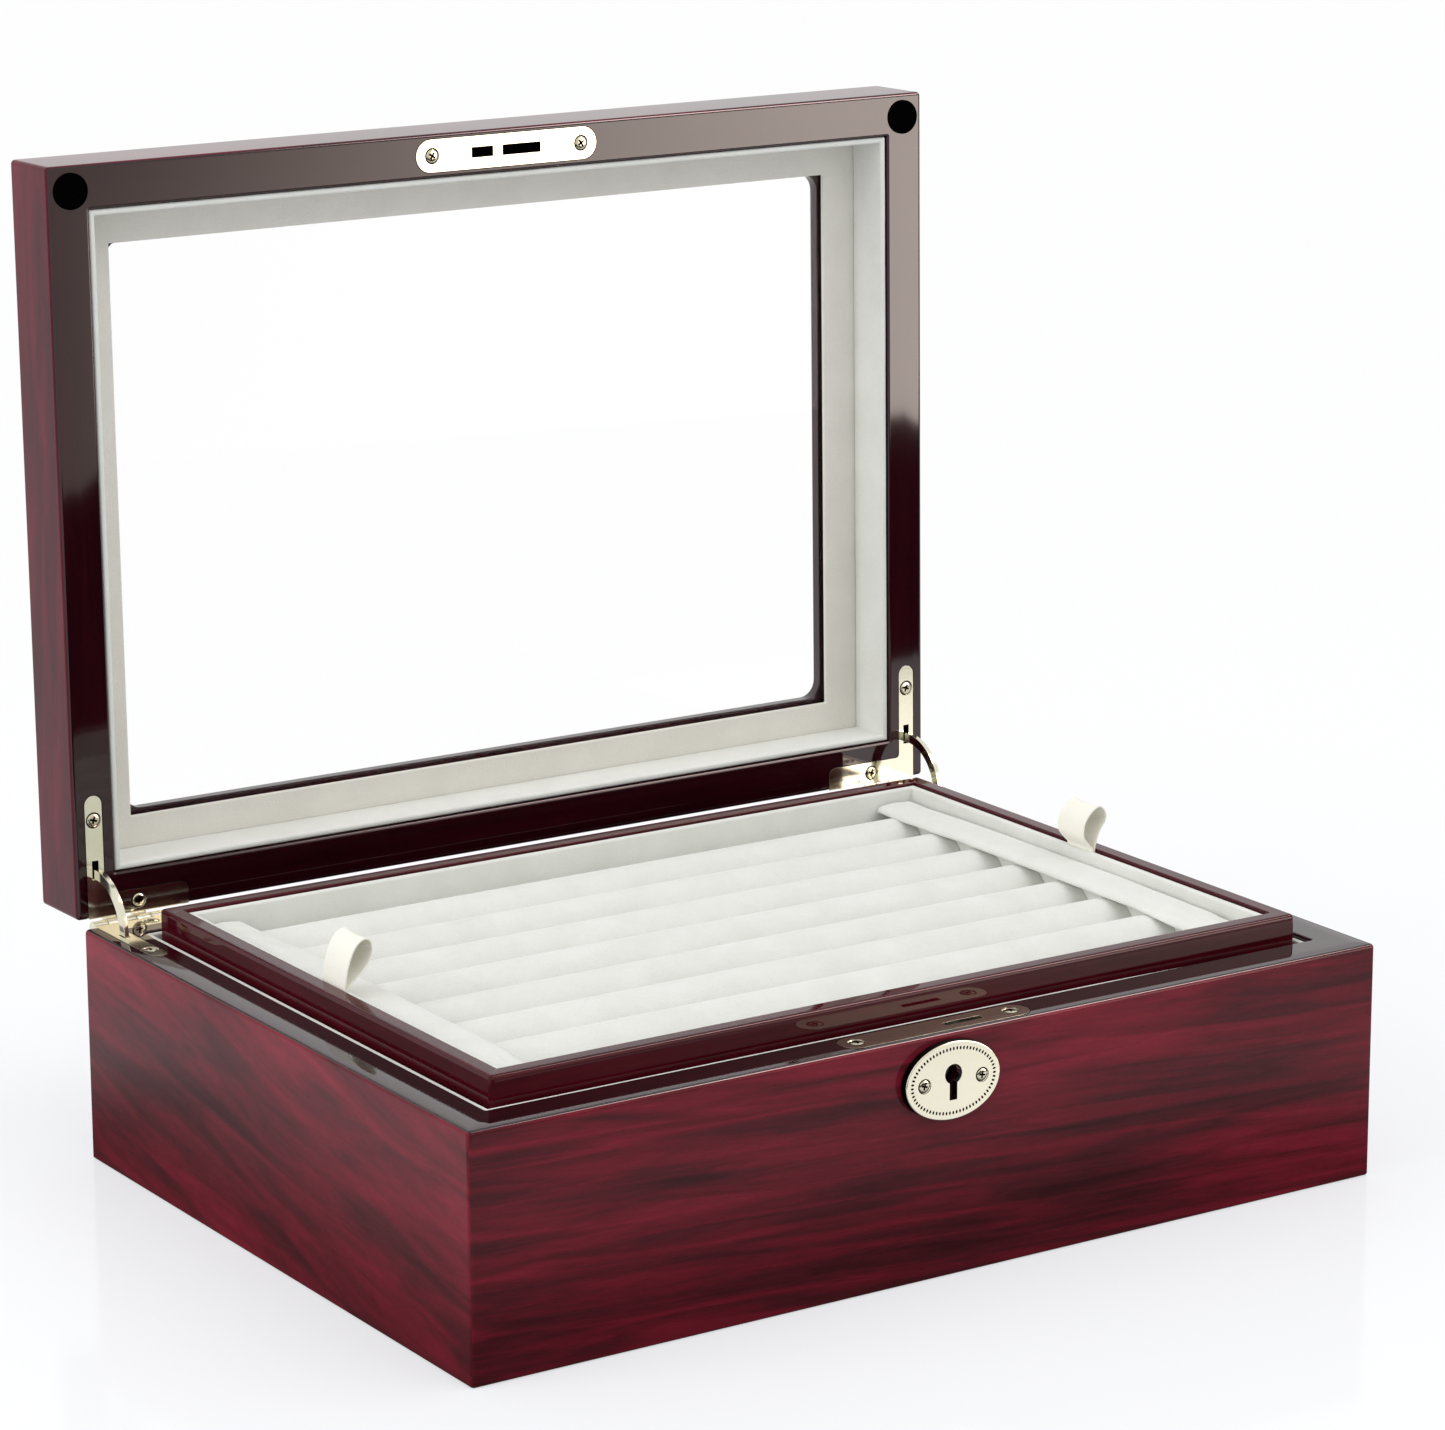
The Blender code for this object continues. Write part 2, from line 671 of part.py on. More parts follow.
def leaf_outline(side, grow):
    """L-shaped leaf in plan: a side arm and a back arm that meet at the back corner."""
    outer = ARM_X + SIDE_ARM_WIDTH / 2 + grow
    inner = ARM_X - SIDE_ARM_WIDTH / 2 - grow
    back = HALF_DEPTH + (OVERRUN if grow else 0.0)
    tip = HALF_DEPTH - SIDE_ARM_LENGTH - grow
    shelf = HALF_DEPTH - BACK_ARM_WIDTH - grow
    end = ARM_X + SIDE_ARM_WIDTH / 2 - BACK_ARM_LENGTH - grow
    half_arm = SIDE_ARM_WIDTH / 2 + grow
    points = [(outer, back), (end, back), (end, shelf), (inner, shelf), (inner, tip), (outer, tip)]
    radii = [LEAF_EDGE_CORNER, LEAF_EDGE_CORNER, BACK_ARM_CORNER, LEAF_INSIDE_CORNER, half_arm, half_arm]
    if grow:
        radii[0] = 0.0
        radii[1] = 0.0
    return [Vector((side * point.x, point.y)) for point in fillet(points, radii)]


def stay_slot(side, reach_near, reach_far):
    """Slot of the stay in a leaf, given the least and greatest distance from the hinge axis."""
    half = STAY_THICK / 2 + STAY_SIDE_CLEARANCE
    centre = side * ARM_X
    return rectangle(centre - half, centre + half, AXIS_Y - reach_far, AXIS_Y - reach_near)


def knuckle_profile(low, high, wrap):
    """Section of a knuckle and its tongue about the hinge axis, as (back, up)."""
    lap = -AXIS_BEHIND - LEAF_TONGUE_LAP
    if not wrap:
        start = math.pi - math.asin(low / BARREL_RADIUS)
        end = 3 * math.pi - math.asin(high / BARREL_RADIUS)
        ring = arc(BARREL_RADIUS, start, end, ROUND_STEPS)
        return [Vector((lap, low))] + ring + [Vector((lap, high))]
    start = math.pi - math.asin(low / BARREL_RADIUS)
    ring = arc(BARREL_RADIUS, start, 2 * math.pi, ROUND_STEPS)
    shoulder = fillet([(lap, high), (BARREL_RADIUS, high), (BARREL_RADIUS, 0.0)], [0.0, BARREL_RADIUS, 0.0])
    return [Vector((lap, low))] + ring + shoulder[-2:0:-1] + [Vector((lap, high))]


def hinge_leaf(name, side, holder, low, high, knuckles, wrap, slot):
    """A leaf let into a rim, with its knuckles round the axis."""
    leaf = plate(name, [leaf_outline(side, 0.0), slot], LEAF_THICK)
    stand(leaf, z=(low + high) / 2)
    recess = plate(name + "_recess", [leaf_outline(side, FIT)], LEAF_THICK + FIT + OVERRUN, cutter=True)
    recess_z = high - (LEAF_THICK + FIT - OVERRUN) / 2
    if wrap:
        recess_z = low + (LEAF_THICK + FIT - OVERRUN) / 2
    stand(recess, z=recess_z)
    pitch = BARREL_LENGTH / KNUCKLE_COUNT
    outer = ARM_X + SIDE_ARM_WIDTH / 2
    pieces = []
    for index in knuckles:
        profile = knuckle_profile(low - AXIS_Z, high - AXIS_Z, wrap)
        knuckle = plate(name + "_knuckle_" + str(index), [profile], pitch - KNUCKLE_GAP, cutter=True)
        centre = side * (outer - (index + 1 / 2) * pitch)
        stand(knuckle, centre, AXIS_Y, AXIS_Z, ON_EDGE_ALONG_X)
        combine(leaf, knuckle, "UNION")
        pieces.append(knuckle)
    for obj in [leaf, recess] + pieces:
        if holder:
            hang(obj, holder)
    finish(leaf, "pale_gold_plate")
    return leaf, recess


def hinge_rod(name, side, radius, length, cutter_holder):
    """A rod on the hinge axis, over the whole barrel: the pin, or the cutter for its bore."""
    profile = [(0.0, length / 2), (radius, length / 2), (radius, -length / 2), (0.0, -length / 2)]
    rod = turned(name, profile, ROUND_STEPS, cutter=True)
    centre = side * (ARM_X + SIDE_ARM_WIDTH / 2 - BARREL_LENGTH / 2)
    stand(rod, centre, AXIS_Y, AXIS_Z, ALONG_X)
    if cutter_holder:
        hang(rod, cutter_holder)
    return rod


def stay_outline():
    """Curved bar about the hinge axis, as (forward, up), with a nib inside each end."""
    inner = STAY_RADIUS - STAY_WIDTH / 2
    outer = STAY_RADIUS + STAY_WIDTH / 2
    nib = inner - STAY_NIB_DEPTH
    low = -STAY_BASE_OVERLAP
    high = OPEN_ANGLE + STAY_LID_OVERLAP
    low_nib = low + STAY_NIB_BACK_SET
    high_nib = high - STAY_NIB_BACK_SET
    outline = arc(outer, low, high, 2 * ROUND_STEPS)
    outline += arc(inner, high, high_nib, 1)
    outline += arc(nib, high_nib, high_nib - STAY_NIB_LENGTH, 2)
    outline += arc(inner, high_nib - STAY_NIB_LENGTH, low_nib + STAY_NIB_LENGTH, 2 * ROUND_STEPS)
    outline += arc(nib, low_nib + STAY_NIB_LENGTH, low_nib, 2)
    outline += arc(inner, low_nib, low, 1)
    return outline


def hinges(lid_axis, base_boards, lid_rails):
    base_low = BASE_HEIGHT - LEAF_THICK
    lid_leaf_high = LID_LOW + LEAF_THICK
    inner = STAY_RADIUS - STAY_WIDTH / 2
    outer = STAY_RADIUS + STAY_WIDTH / 2
    rise = lid_leaf_high - AXIS_Z
    lid_near = math.sqrt(inner**2 - rise**2) - STAY_SLOT_CLEARANCE
    lid_far = outer + STAY_SLOT_CLEARANCE + STAY_SLOT_SPARE
    base_near = math.sqrt(inner**2 - AXIS_BELOW**2) - STAY_SLOT_CLEARANCE
    base_far = outer + STAY_SLOT_CLEARANCE
    nib = inner - STAY_NIB_DEPTH
    half_slot = STAY_THICK / 2 + STAY_SLOT_CLEARANCE

    # How far the stay sinks into the base and into the lid when the lid is shut
    base_swing = STAY_BASE_OVERLAP + OPEN_ANGLE / 2
    lid_swing = STAY_LID_OVERLAP + OPEN_ANGLE / 2
    base_floor = AXIS_Z - outer * math.sin(base_swing) - STAY_END_CLEARANCE
    base_back = AXIS_Y - nib * math.cos(base_swing) + STAY_END_CLEARANCE
    lid_roof = AXIS_Z + outer * math.sin(lid_swing) + STAY_END_CLEARANCE
    lid_back = AXIS_Y - nib * math.cos(lid_swing) + STAY_END_CLEARANCE
    front = AXIS_Y - outer - STAY_END_CLEARANCE - STAY_SLOT_SPARE

    for side, word in ((LEFT, "left"), (RIGHT, "right")):
        name = "hinge_" + word
        base_leaf, base_recess = hinge_leaf(
            name + "_base_leaf",
            side,
            None,
            base_low,
            BASE_HEIGHT,
            range(0, KNUCKLE_COUNT, 2),
            False,
            stay_slot(side, base_near, base_far),
        )
        pin = hinge_rod(name + "_pin", side, PIN_RADIUS, BARREL_LENGTH - KNUCKLE_GAP, None)
        combine(base_leaf, pin, "UNION")
        lid_leaf, lid_recess = hinge_leaf(
            name + "_lid_leaf",
            side,
            lid_axis,
            LID_LOW,
            lid_leaf_high,
            range(1, KNUCKLE_COUNT, 2),
            True,
            stay_slot(side, lid_near, lid_far),
        )
        bore_radius = PIN_RADIUS + PIN_CLEARANCE
        bore = hinge_rod(name + "_bore", side, bore_radius, BARREL_LENGTH + OVERRUN, lid_axis)
        combine(lid_leaf, bore)

        # Mortises that take the stay
        centre = side * ARM_X
        base_mortise = block(
            name + "_base_mortise",
            (centre - half_slot, front, base_floor),
            (centre + half_slot, base_back, BASE_HEIGHT + OVERRUN),
            cutter=True,
        )
        lid_mortise = block(
            name + "_lid_mortise",
            (centre - half_slot, front, LID_LOW - OVERRUN),
            (centre + half_slot, lid_back, lid_roof),
            cutter=True,
        )
        hang(lid_mortise, lid_axis)
        for board in (base_boards[word], base_boards["back"]):
            combine(board, base_recess)
            combine(board, base_mortise)
        for rail in (lid_rails[word], lid_rails["back"]):
            combine(rail, lid_recess)
            combine(rail, lid_mortise)

        # Screws, one in each arm
        side_y = HALF_DEPTH - SIDE_ARM_LENGTH + SIDE_SCREW_FROM_TIP
        back_arm_end = ARM_X + SIDE_ARM_WIDTH / 2 - BACK_ARM_LENGTH
        back_x = side * (back_arm_end + BACK_SCREW_FROM_END)
        back_y = HALF_DEPTH - BACK_ARM_WIDTH / 2
        for arm, x, y, key in (("side", centre, side_y, word), ("back", back_x, back_y, "back")):
            seat = screw(name + "_base_" + arm + "_screw", (x, y, BASE_HEIGHT), (0.0, 0.0, 0.0))
            combine(base_leaf, seat)
            combine(base_boards[key], seat)
            seat = screw(name + "_lid_" + arm + "_screw", (x, y, LID_LOW), FACING_DOWN, holder=lid_axis)
            combine(lid_leaf, seat)
            combine(lid_rails[key], seat)

        # The stay turns half as far as the lid
        stay_axis = pivot("stay_" + word + "_axis", centre, AXIS_Y, AXIS_Z)
        stay = plate("stay_" + word, [stay_outline()], STAY_THICK)
        stand(stay, centre, AXIS_Y, AXIS_Z, (math.pi / 2, 0.0, -math.pi / 2))
        hang(stay, stay_axis)
        finish(stay, "pale_gold_plate")


# Lid


def lid_parts(lid_axis):
    inside_x = HALF_WIDTH - BOARD
    inside_y = HALF_DEPTH - BOARD
    roof = LID_HIGH - LIP_THICK
    cavity = block(
        "lid_cavity",
        (-inside_x, -inside_y, LID_LOW - OVERRUN),
        (inside_x, inside_y, roof),
        cutter=True,
    )
    window_x = HALF_WIDTH - WINDOW_SIDE_MARGIN
    window_y = HALF_DEPTH - WINDOW_END_MARGIN
    window_outline = rectangle(-window_x, window_x, -window_y, window_y, WINDOW_CORNER)
    window = plate("lid_window", [window_outline], 2 * (LIP_THICK + OVERRUN), cutter=True)
    stand(window, z=LID_HIGH)
    reach = max(WINDOW_SIDE_MARGIN, WINDOW_END_MARGIN) + WINDOW_CORNER
    rails = mitred_frame(
        "lid",
        "rail",
        BOX_WIDTH,
        BOX_DEPTH,
        LID_LOW,
        LID_HIGH,
        reach,
        EDGE_ROUND,
        lambda edge: True,
        [cavity, window],
    )
    for obj in [cavity, window] + [bpy.data.objects["lid_" + side + "_rail_mitre"] for side in rails]:
        hang(obj, lid_axis)
    for rail in rails.values():
        hang(rail, lid_axis)

    fit_x = inside_x - FIT
    fit_y = inside_y - FIT
    glass_high = roof - FIT
    glass_low = glass_high - GLASS_THICK
    glass = block("lid_glass", (-fit_x, -fit_y, glass_low), (fit_x, fit_y, glass_high))
    finish(glass, "clear_glass")

    frame_high = glass_low - FIT
    frame_low = frame_high - FRAME_THICK
    outer = rectangle(-fit_x, fit_x, -fit_y, fit_y)
    inner = rectangle(-window_x, window_x, -window_y, window_y)
    frame = plate("lid_window_frame", [outer, inner], FRAME_THICK)
    stand(frame, z=(frame_low + frame_high) / 2)
    finish(frame, "ivory_velvet")

    lining_low = LID_LOW + LID_LINING_DROP
    lining_high = frame_low - FIT
    thick = LID_LINING_THICK
    inner = rectangle(-fit_x + thick, fit_x - thick, -fit_y + thick, fit_y - thick)
    lining = plate("lid_lining", [outer, inner], lining_high - lining_low)
    stand(lining, z=(lining_low + lining_high) / 2)
    finish(lining, "ivory_velvet")
    for obj in (glass, frame, lining):
        hang(obj, lid_axis)
    return rails


def strike_and_bumpers(lid_axis, front_rail):
    half_length = LOCK_PLATE_LENGTH / 2
    half_width = LOCK_PLATE_WIDTH / 2
    half_slot = STRIKE_SLOT_WIDTH / 2
    outline = rectangle(-half_length, half_length, -half_width, half_width, half_width)
    short = rectangle(STRIKE_SHORT_LEFT, STRIKE_SHORT_RIGHT, -half_slot, half_slot)
    long = rectangle(STRIKE_LONG_LEFT, STRIKE_LONG_RIGHT, -half_slot, half_slot)
    strike = plate("strike_plate", [outline, short, long], LOCK_PLATE_THICK)
    stand(strike, 0.0, RIM_CENTRE_Y, LID_LOW + LOCK_PLATE_THICK / 2)
    recess = let_in("strike_recess", outline, half_length, half_width)
    stand(recess, 0.0, RIM_CENTRE_Y, LID_LOW)
    pocket = block(
        "strike_pocket",
        (STRIKE_SHORT_LEFT - FIT, RIM_CENTRE_Y - half_slot - FIT, LID_LOW),
        (STRIKE_LONG_RIGHT + FIT, RIM_CENTRE_Y + half_slot + FIT, LID_LOW + STRIKE_POCKET_DEPTH),
        cutter=True,
    )
    for obj in (strike, recess, pocket):
        hang(obj, lid_axis)
    combine(front_rail, recess)
    combine(front_rail, pocket)
    for side, word in ((LEFT, "left"), (RIGHT, "right")):
        place = (side * LOCK_SCREW_SPREAD, RIM_CENTRE_Y, LID_LOW)
        seat = screw("strike_screw_" + word, place, FACING_DOWN, holder=lid_axis)
        combine(strike, seat)
        combine(front_rail, seat)

        low = LID_LOW - BUMPER_PROUD
        high = LID_LOW - WELD
        profile = [(0.0, high), (BUMPER_RADIUS, high), (BUMPER_RADIUS, low + BUMPER_ROUND)]
        profile += [(BUMPER_RADIUS - BUMPER_ROUND, low), (0.0, low)]
        bumper = turned("bumper_" + word, profile, ROUND_STEPS)
        stand(bumper, side * (HALF_WIDTH - BUMPER_INSET), -HALF_DEPTH + BUMPER_INSET)
        hang(bumper, lid_axis)
        finish(bumper, "black_rubber")
    finish(strike, "pale_gold_plate")


# Tray


def tray_parts(holder):
    half_x = TRAY_WIDTH / 2 - TRAY_WALL
    half_y = TRAY_DEPTH / 2 - TRAY_WALL
    cavity = block(
        "tray_cavity",
        (-half_x, -half_y, TRAY_LOW - OVERRUN),
        (half_x, half_y, TRAY_TOP + OVERRUN),
        cutter=True,
    )
    walls = mitred_frame(
        "tray",
        "wall",
        TRAY_WIDTH,
        TRAY_DEPTH,
        TRAY_LOW,
        TRAY_TOP,
        TRAY_WALL + OVERRUN,
        TRAY_ROUND,
        lambda edge: is_upright(edge) or is_above(edge, (TRAY_LOW + TRAY_TOP) / 2),
        [cavity],
    )
    for obj in [cavity] + [bpy.data.objects["tray_" + side + "_wall_mitre"] for side in walls]:
        hang(obj, holder)

    fit_x = half_x - FIT
    fit_y = half_y - FIT
    floor_low = TRAY_LOW + TRAY_FLOOR_UP
    floor_high = floor_low + TRAY_FLOOR_THICK
    floor = block("tray_floor", (-fit_x, -fit_y, floor_low), (fit_x, fit_y, floor_high))
    finish(floor, "plywood")

    # Lining, with a pocket behind it for the tails of each pull loop
    seat_z = floor_high + FIT
    lining_top = TRAY_TOP - TRAY_LINING_DROP
    outer = rectangle(-fit_x, fit_x, -fit_y, fit_y)
    room_x = fit_x - TRAY_LINING_THICK
    room_y = fit_y - TRAY_LINING_THICK
    inner = rectangle(-room_x, room_x, -room_y, room_y)
    lining = plate("tray_lining", [outer, inner], lining_top - seat_z)
    stand(lining, z=(seat_z + lining_top) / 2)
    finish(lining, "ivory_velvet")
    tail_low = TRAY_TOP - LOOP_TAIL
    tail_depth = 2 * RIBBON_THICK + POCKET_CLEARANCE
    half_ribbon = RIBBON_WIDTH / 2 + POCKET_CLEARANCE
    for side, word in ((LEFT, "left"), (RIGHT, "right")):
        edges = sorted((side * (fit_x - tail_depth), side * (fit_x + OVERRUN)))
        pocket = block(
            "pull_loop_pocket_" + word,
            (edges[0], -half_ribbon, tail_low - POCKET_CLEARANCE),
            (edges[1], half_ribbon, TRAY_TOP),
            cutter=True,
        )
        hang(pocket, holder)
        combine(lining, pocket)

    for obj in list(walls.values()) + [floor, lining]:
        hang(obj, holder)
    tray_soft_parts(holder, room_x, room_y, seat_z, fit_x, tail_low)


def bolster_outline(height):
    """End view of a bolster: flat under, with round shoulders and a low crown."""
    half = BOLSTER_WIDTH / 2
    shoulder = height - BOLSTER_CROWN
    outline = [Vector((-half, 0.0)), Vector((half, 0.0))]
    outline += fillet([(half, 0.0), (half, shoulder), (0.0, height)], [0.0, BOLSTER_SHOULDER, 0.0])[1:]
    outline += fillet([(0.0, height), (-half, shoulder), (-half, 0.0)], [0.0, BOLSTER_SHOULDER, 0.0])[1:-1]
    return outline


def loop_outlines(width, lean):
    """A ribbon folded into a drop-shaped loop over two tails, as (x, up) from the top of the tray."""
    half = RIBBON_THICK / 2
    middle = LOOP_RISE / 2
    start = math.pi * LOOP_NECK_SHARE

    def centre_line(angle):
        swing = math.sin(angle) * math.sin(angle / 2) ** LOOP_TIGHTNESS
        rise = middle * (1 - math.cos(angle))
        return Vector((swing * (width / 2 - half) + lean * (rise / LOOP_RISE) ** 2, rise))

    def offset(angle, distance):
        step = math.pi / ROUND_STEPS / ROUND_STEPS
        along = (centre_line(angle + step) - centre_line(angle - step)).normalized()
        return centre_line(angle) + Vector((along.y, -along.x)) * distance

    angles = [start + (2 * math.pi - 2 * start) * step / LOOP_STEPS for step in range(LOOP_STEPS + 1)]
    outer = [offset(angle, half) for angle in angles]
    outer = [Vector((2 * half, -LOOP_TAIL)), Vector((2 * half, 0.0))][:2] + outer
    outer += [Vector((-2 * half, 0.0)), Vector((-2 * half, -LOOP_TAIL))]
    inner = [offset(angle, -half) for angle in angles]
    return [outer, inner]


def tray_soft_parts(holder, room_x, room_y, seat_z, lining_x, tail_low):
    # Rolls, side by side from front to back
    pitch = 2 * (room_y - FIT) / ROLL_COUNT
    radius = (pitch - ROLL_GAP) / 2
    bolster_x = room_x - FIT - BOLSTER_WIDTH
    half_length = bolster_x - ROLL_END_GAP
    end = arc(ROLL_END_ROUND, math.pi / 2, 0.0, ARC_STEPS)
    top = [(radius - ROLL_END_ROUND + p.x, half_length - ROLL_END_ROUND + p.y) for p in end]
    profile = [(0.0, half_length)] + top + [(x, -z) for x, z in reversed(top)] + [(0.0, -half_length)]
    for index in range(ROLL_COUNT):
        roll = turned("roll_" + str(index + 1), profile, ROLL_STEPS)
        y = -room_y + FIT + pitch * (index + 1 / 2)
        stand(roll, 0.0, y, seat_z + radius, ALONG_X)
        hang(roll, holder)
        finish(roll, "ivory_velvet")

    height = TRAY_TOP - BOLSTER_DROP - seat_z
    for side, word in ((LEFT, "left"), (RIGHT, "right")):
        bolster = plate("bolster_" + word, [bolster_outline(height)], 2 * (room_y - FIT))
        stand(bolster, side * (bolster_x + BOLSTER_WIDTH / 2), 0.0, seat_z, FACING_FRONT)
        hang(bolster, holder)
        finish(bolster, "ivory_velvet")

    # Pull loops, their tails behind the lining
    shapes = {"left": (LOOP_LEFT_WIDTH, LOOP_LEFT_LEAN), "right": (LOOP_RIGHT_WIDTH, LOOP_RIGHT_LEAN)}
    for side, word in ((LEFT, "left"), (RIGHT, "right")):
        loop = plate("pull_loop_" + word, loop_outlines(*shapes[word]), RIBBON_WIDTH)
        tail_x = side * (lining_x - RIBBON_THICK)
        stand(loop, tail_x, 0.0, TRAY_TOP, FACING_FRONT)
        hang(loop, holder)
        finish(loop, "cream_ribbon")


# Put the box together and open the lid

lid_hinge_axis = pivot("lid_hinge_axis", 0.0, AXIS_Y, AXIS_Z)
tray_handle = pivot("tray_lift", 0.0, 0.0, TRAY_LOW)
base_boards = base_parts()
lock_parts(base_boards["front"])
lid_rails = lid_parts(lid_hinge_axis)
strike_and_bumpers(lid_hinge_axis, lid_rails["front"])
hinges(lid_hinge_axis, base_boards, lid_rails)
tray_parts(tray_handle)
lid_hinge_axis.rotation_euler = (-OPEN_ANGLE, 0.0, 0.0)
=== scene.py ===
# %% [markdown]
# A cufflink box in lacquered rosewood, dressed in Blender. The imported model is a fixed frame: it says where
# every board, hinge and cushion is. Each cell below makes one finish or one piece around that frame, first
# the studio, then the finishes, then the wood, the velvet and the metal.

# %% Load the frame
import json
import math

import bmesh
import bpy
import numpy as np
from mathutils import Matrix, Vector, noise


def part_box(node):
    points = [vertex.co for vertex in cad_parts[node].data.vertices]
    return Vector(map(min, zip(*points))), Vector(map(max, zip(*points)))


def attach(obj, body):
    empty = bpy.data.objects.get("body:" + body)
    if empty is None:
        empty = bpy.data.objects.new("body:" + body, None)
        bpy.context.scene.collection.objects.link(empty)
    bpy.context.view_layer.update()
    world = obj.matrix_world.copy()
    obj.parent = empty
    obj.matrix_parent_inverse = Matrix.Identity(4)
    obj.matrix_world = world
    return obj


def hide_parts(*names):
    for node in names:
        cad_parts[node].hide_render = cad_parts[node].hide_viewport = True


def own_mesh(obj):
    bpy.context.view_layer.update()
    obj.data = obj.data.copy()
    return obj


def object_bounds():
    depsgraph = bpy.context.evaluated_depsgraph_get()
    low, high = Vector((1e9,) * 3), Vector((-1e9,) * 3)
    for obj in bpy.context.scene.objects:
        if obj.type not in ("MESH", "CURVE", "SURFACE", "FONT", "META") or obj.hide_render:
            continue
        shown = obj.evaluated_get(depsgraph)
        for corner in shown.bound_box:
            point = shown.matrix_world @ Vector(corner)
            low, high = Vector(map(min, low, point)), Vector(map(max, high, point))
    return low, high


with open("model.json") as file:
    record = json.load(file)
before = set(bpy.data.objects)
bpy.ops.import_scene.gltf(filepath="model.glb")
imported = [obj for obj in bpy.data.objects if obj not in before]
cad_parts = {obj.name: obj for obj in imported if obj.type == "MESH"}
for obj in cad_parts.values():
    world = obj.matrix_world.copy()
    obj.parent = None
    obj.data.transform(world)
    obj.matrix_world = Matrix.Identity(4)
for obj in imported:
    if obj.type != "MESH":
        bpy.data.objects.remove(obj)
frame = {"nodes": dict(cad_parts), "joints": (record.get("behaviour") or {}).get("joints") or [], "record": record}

cad_low, cad_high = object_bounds()
print("CAD box in mm", [round(1000 * size, 1) for size in cad_high - cad_low])

# %% [markdown]
# The camera is a long lens, a little above the box and to its left, as a catalogue picture is taken. It is
# placed by the point that it looks at, the direction it looks from and how far off it stands, so each number
# means something on its own.

# %% Camera
CAMERA_TARGET = Vector((-0.0129, -0.0186, 0.1344))
CAMERA_AZIMUTH = math.radians(-33.17)
CAMERA_ELEVATION = math.radians(14.09)
CAMERA_ROLL = math.radians(-0.20)
CAMERA_DISTANCE = 1.3462
CAMERA_LENS = 126.0
CAMERA_SENSOR = 36.0


def direction(azimuth, elevation):
    """Unit vector from the box towards a place round it; azimuth 0 is in front."""
    flat = math.cos(elevation)
    return Vector((math.sin(azimuth) * flat, -math.cos(azimuth) * flat, math.sin(elevation)))


def put_camera():
    lens = bpy.data.cameras.new("camera")
    lens.lens = CAMERA_LENS
    lens.sensor_width = CAMERA_SENSOR
    camera = bpy.data.objects.new("camera", lens)
    bpy.context.scene.collection.objects.link(camera)
    back = direction(CAMERA_AZIMUTH, CAMERA_ELEVATION)
    camera.rotation_mode = "QUATERNION"
    camera.location = CAMERA_TARGET + back * CAMERA_DISTANCE
    level = (-back).to_track_quat("-Z", "Y")
    camera.rotation_quaternion = level @ Matrix.Rotation(CAMERA_ROLL, 3, "Z").to_quaternion()
    bpy.context.scene.camera = camera
    return camera


camera = put_camera()
print("camera stands at", [round(place, 3) for place in camera.location])

# %% [markdown]
# A finish is a small tree of shader nodes. One helper adds a node, sets its options and its inputs, and links
# any input that is given as a socket. Colours are written as sRGB hex values, as a paint chart gives them,
# and one function turns them into the linear values that the renderer works in.

# %% Helpers for finishes
MIX_FACTOR = 0
MIX_LOW = 2
MIX_HIGH = 3
SRGB_KNEE = 0.04045
SRGB_SLOPE = 12.92
SRGB_OFFSET = 0.055
SRGB_POWER = 2.4


def linear(code):
    """Linear RGBA of an sRGB hex value."""
    bright = []
    for place in (1, 3, 5):
        value = int(code[place : place + 2], 16) / 255
        curved = ((value + SRGB_OFFSET) / (1 + SRGB_OFFSET)) ** SRGB_POWER
        bright.append(value / SRGB_SLOPE if value <= SRGB_KNEE else curved)
    return (*bright, 1.0)


def add_node(tree, kind, inputs=None, stops=None, **settings):
    """Add a node; an input may be a value or another node's socket, and stops fill a colour ramp."""
    made = tree.nodes.new(kind)
    for name, value in settings.items():
        setattr(made, name, value)
    for name, value in (inputs or {}).items():
        if isinstance(value, bpy.types.NodeSocket):
            tree.links.new(value, made.inputs[name])
        else:
            made.inputs[name].default_value = value
    if stops:
        colours = made.color_ramp.elements
        while len(colours) < len(stops):
            colours.new(1.0)
        for element, (place, code) in zip(colours, stops):
            element.position = place
            element.color = linear(code)
    return made


def mapped(value, start, end, low, high):
    """Inputs of a Map Range node that takes start to low and end to high."""
    return {"Value": value, "From Min": start, "From Max": end, "To Min": low, "To Max": high}


def per_metre(sizes):
    """Scales that give a pattern clumps of these sizes along the three axes."""
    return [1 / size for size in sizes]


def new_finish(name):
    """An empty material and its tree."""
    material = bpy.data.materials.new(name)
    material.use_nodes = True
    tree = material.node_tree
    tree.nodes.clear()
    return material, tree


def show(material, shader):
    """Put a finished shader on the material's surface."""
    add_node(material.node_tree, "ShaderNodeOutputMaterial", {"Surface": shader.outputs[0]})
    return material


print("dark red in linear values", [round(value, 4) for value in linear("#6d1729")])

# %% [markdown]
# The studio is a white sweep with soft light from all round, a wide lamp overhead and one at the left. The
# floor keeps the shadow of the box, and most of its white is a share of plain white that no lamp has to
# give: less of it beside the box, where the shadow lies, and nearly all of it further off. Close to the box
# the floor also throws back less light than a bare sweep would. Lacquer and metal look like what they
# reflect, so a few cards stand round the box that light nothing and are seen only as reflections: a bright
# screen to the right of the camera, a dark floor in front of it, and a small bright square that draws a line
# along the rounded arrises.

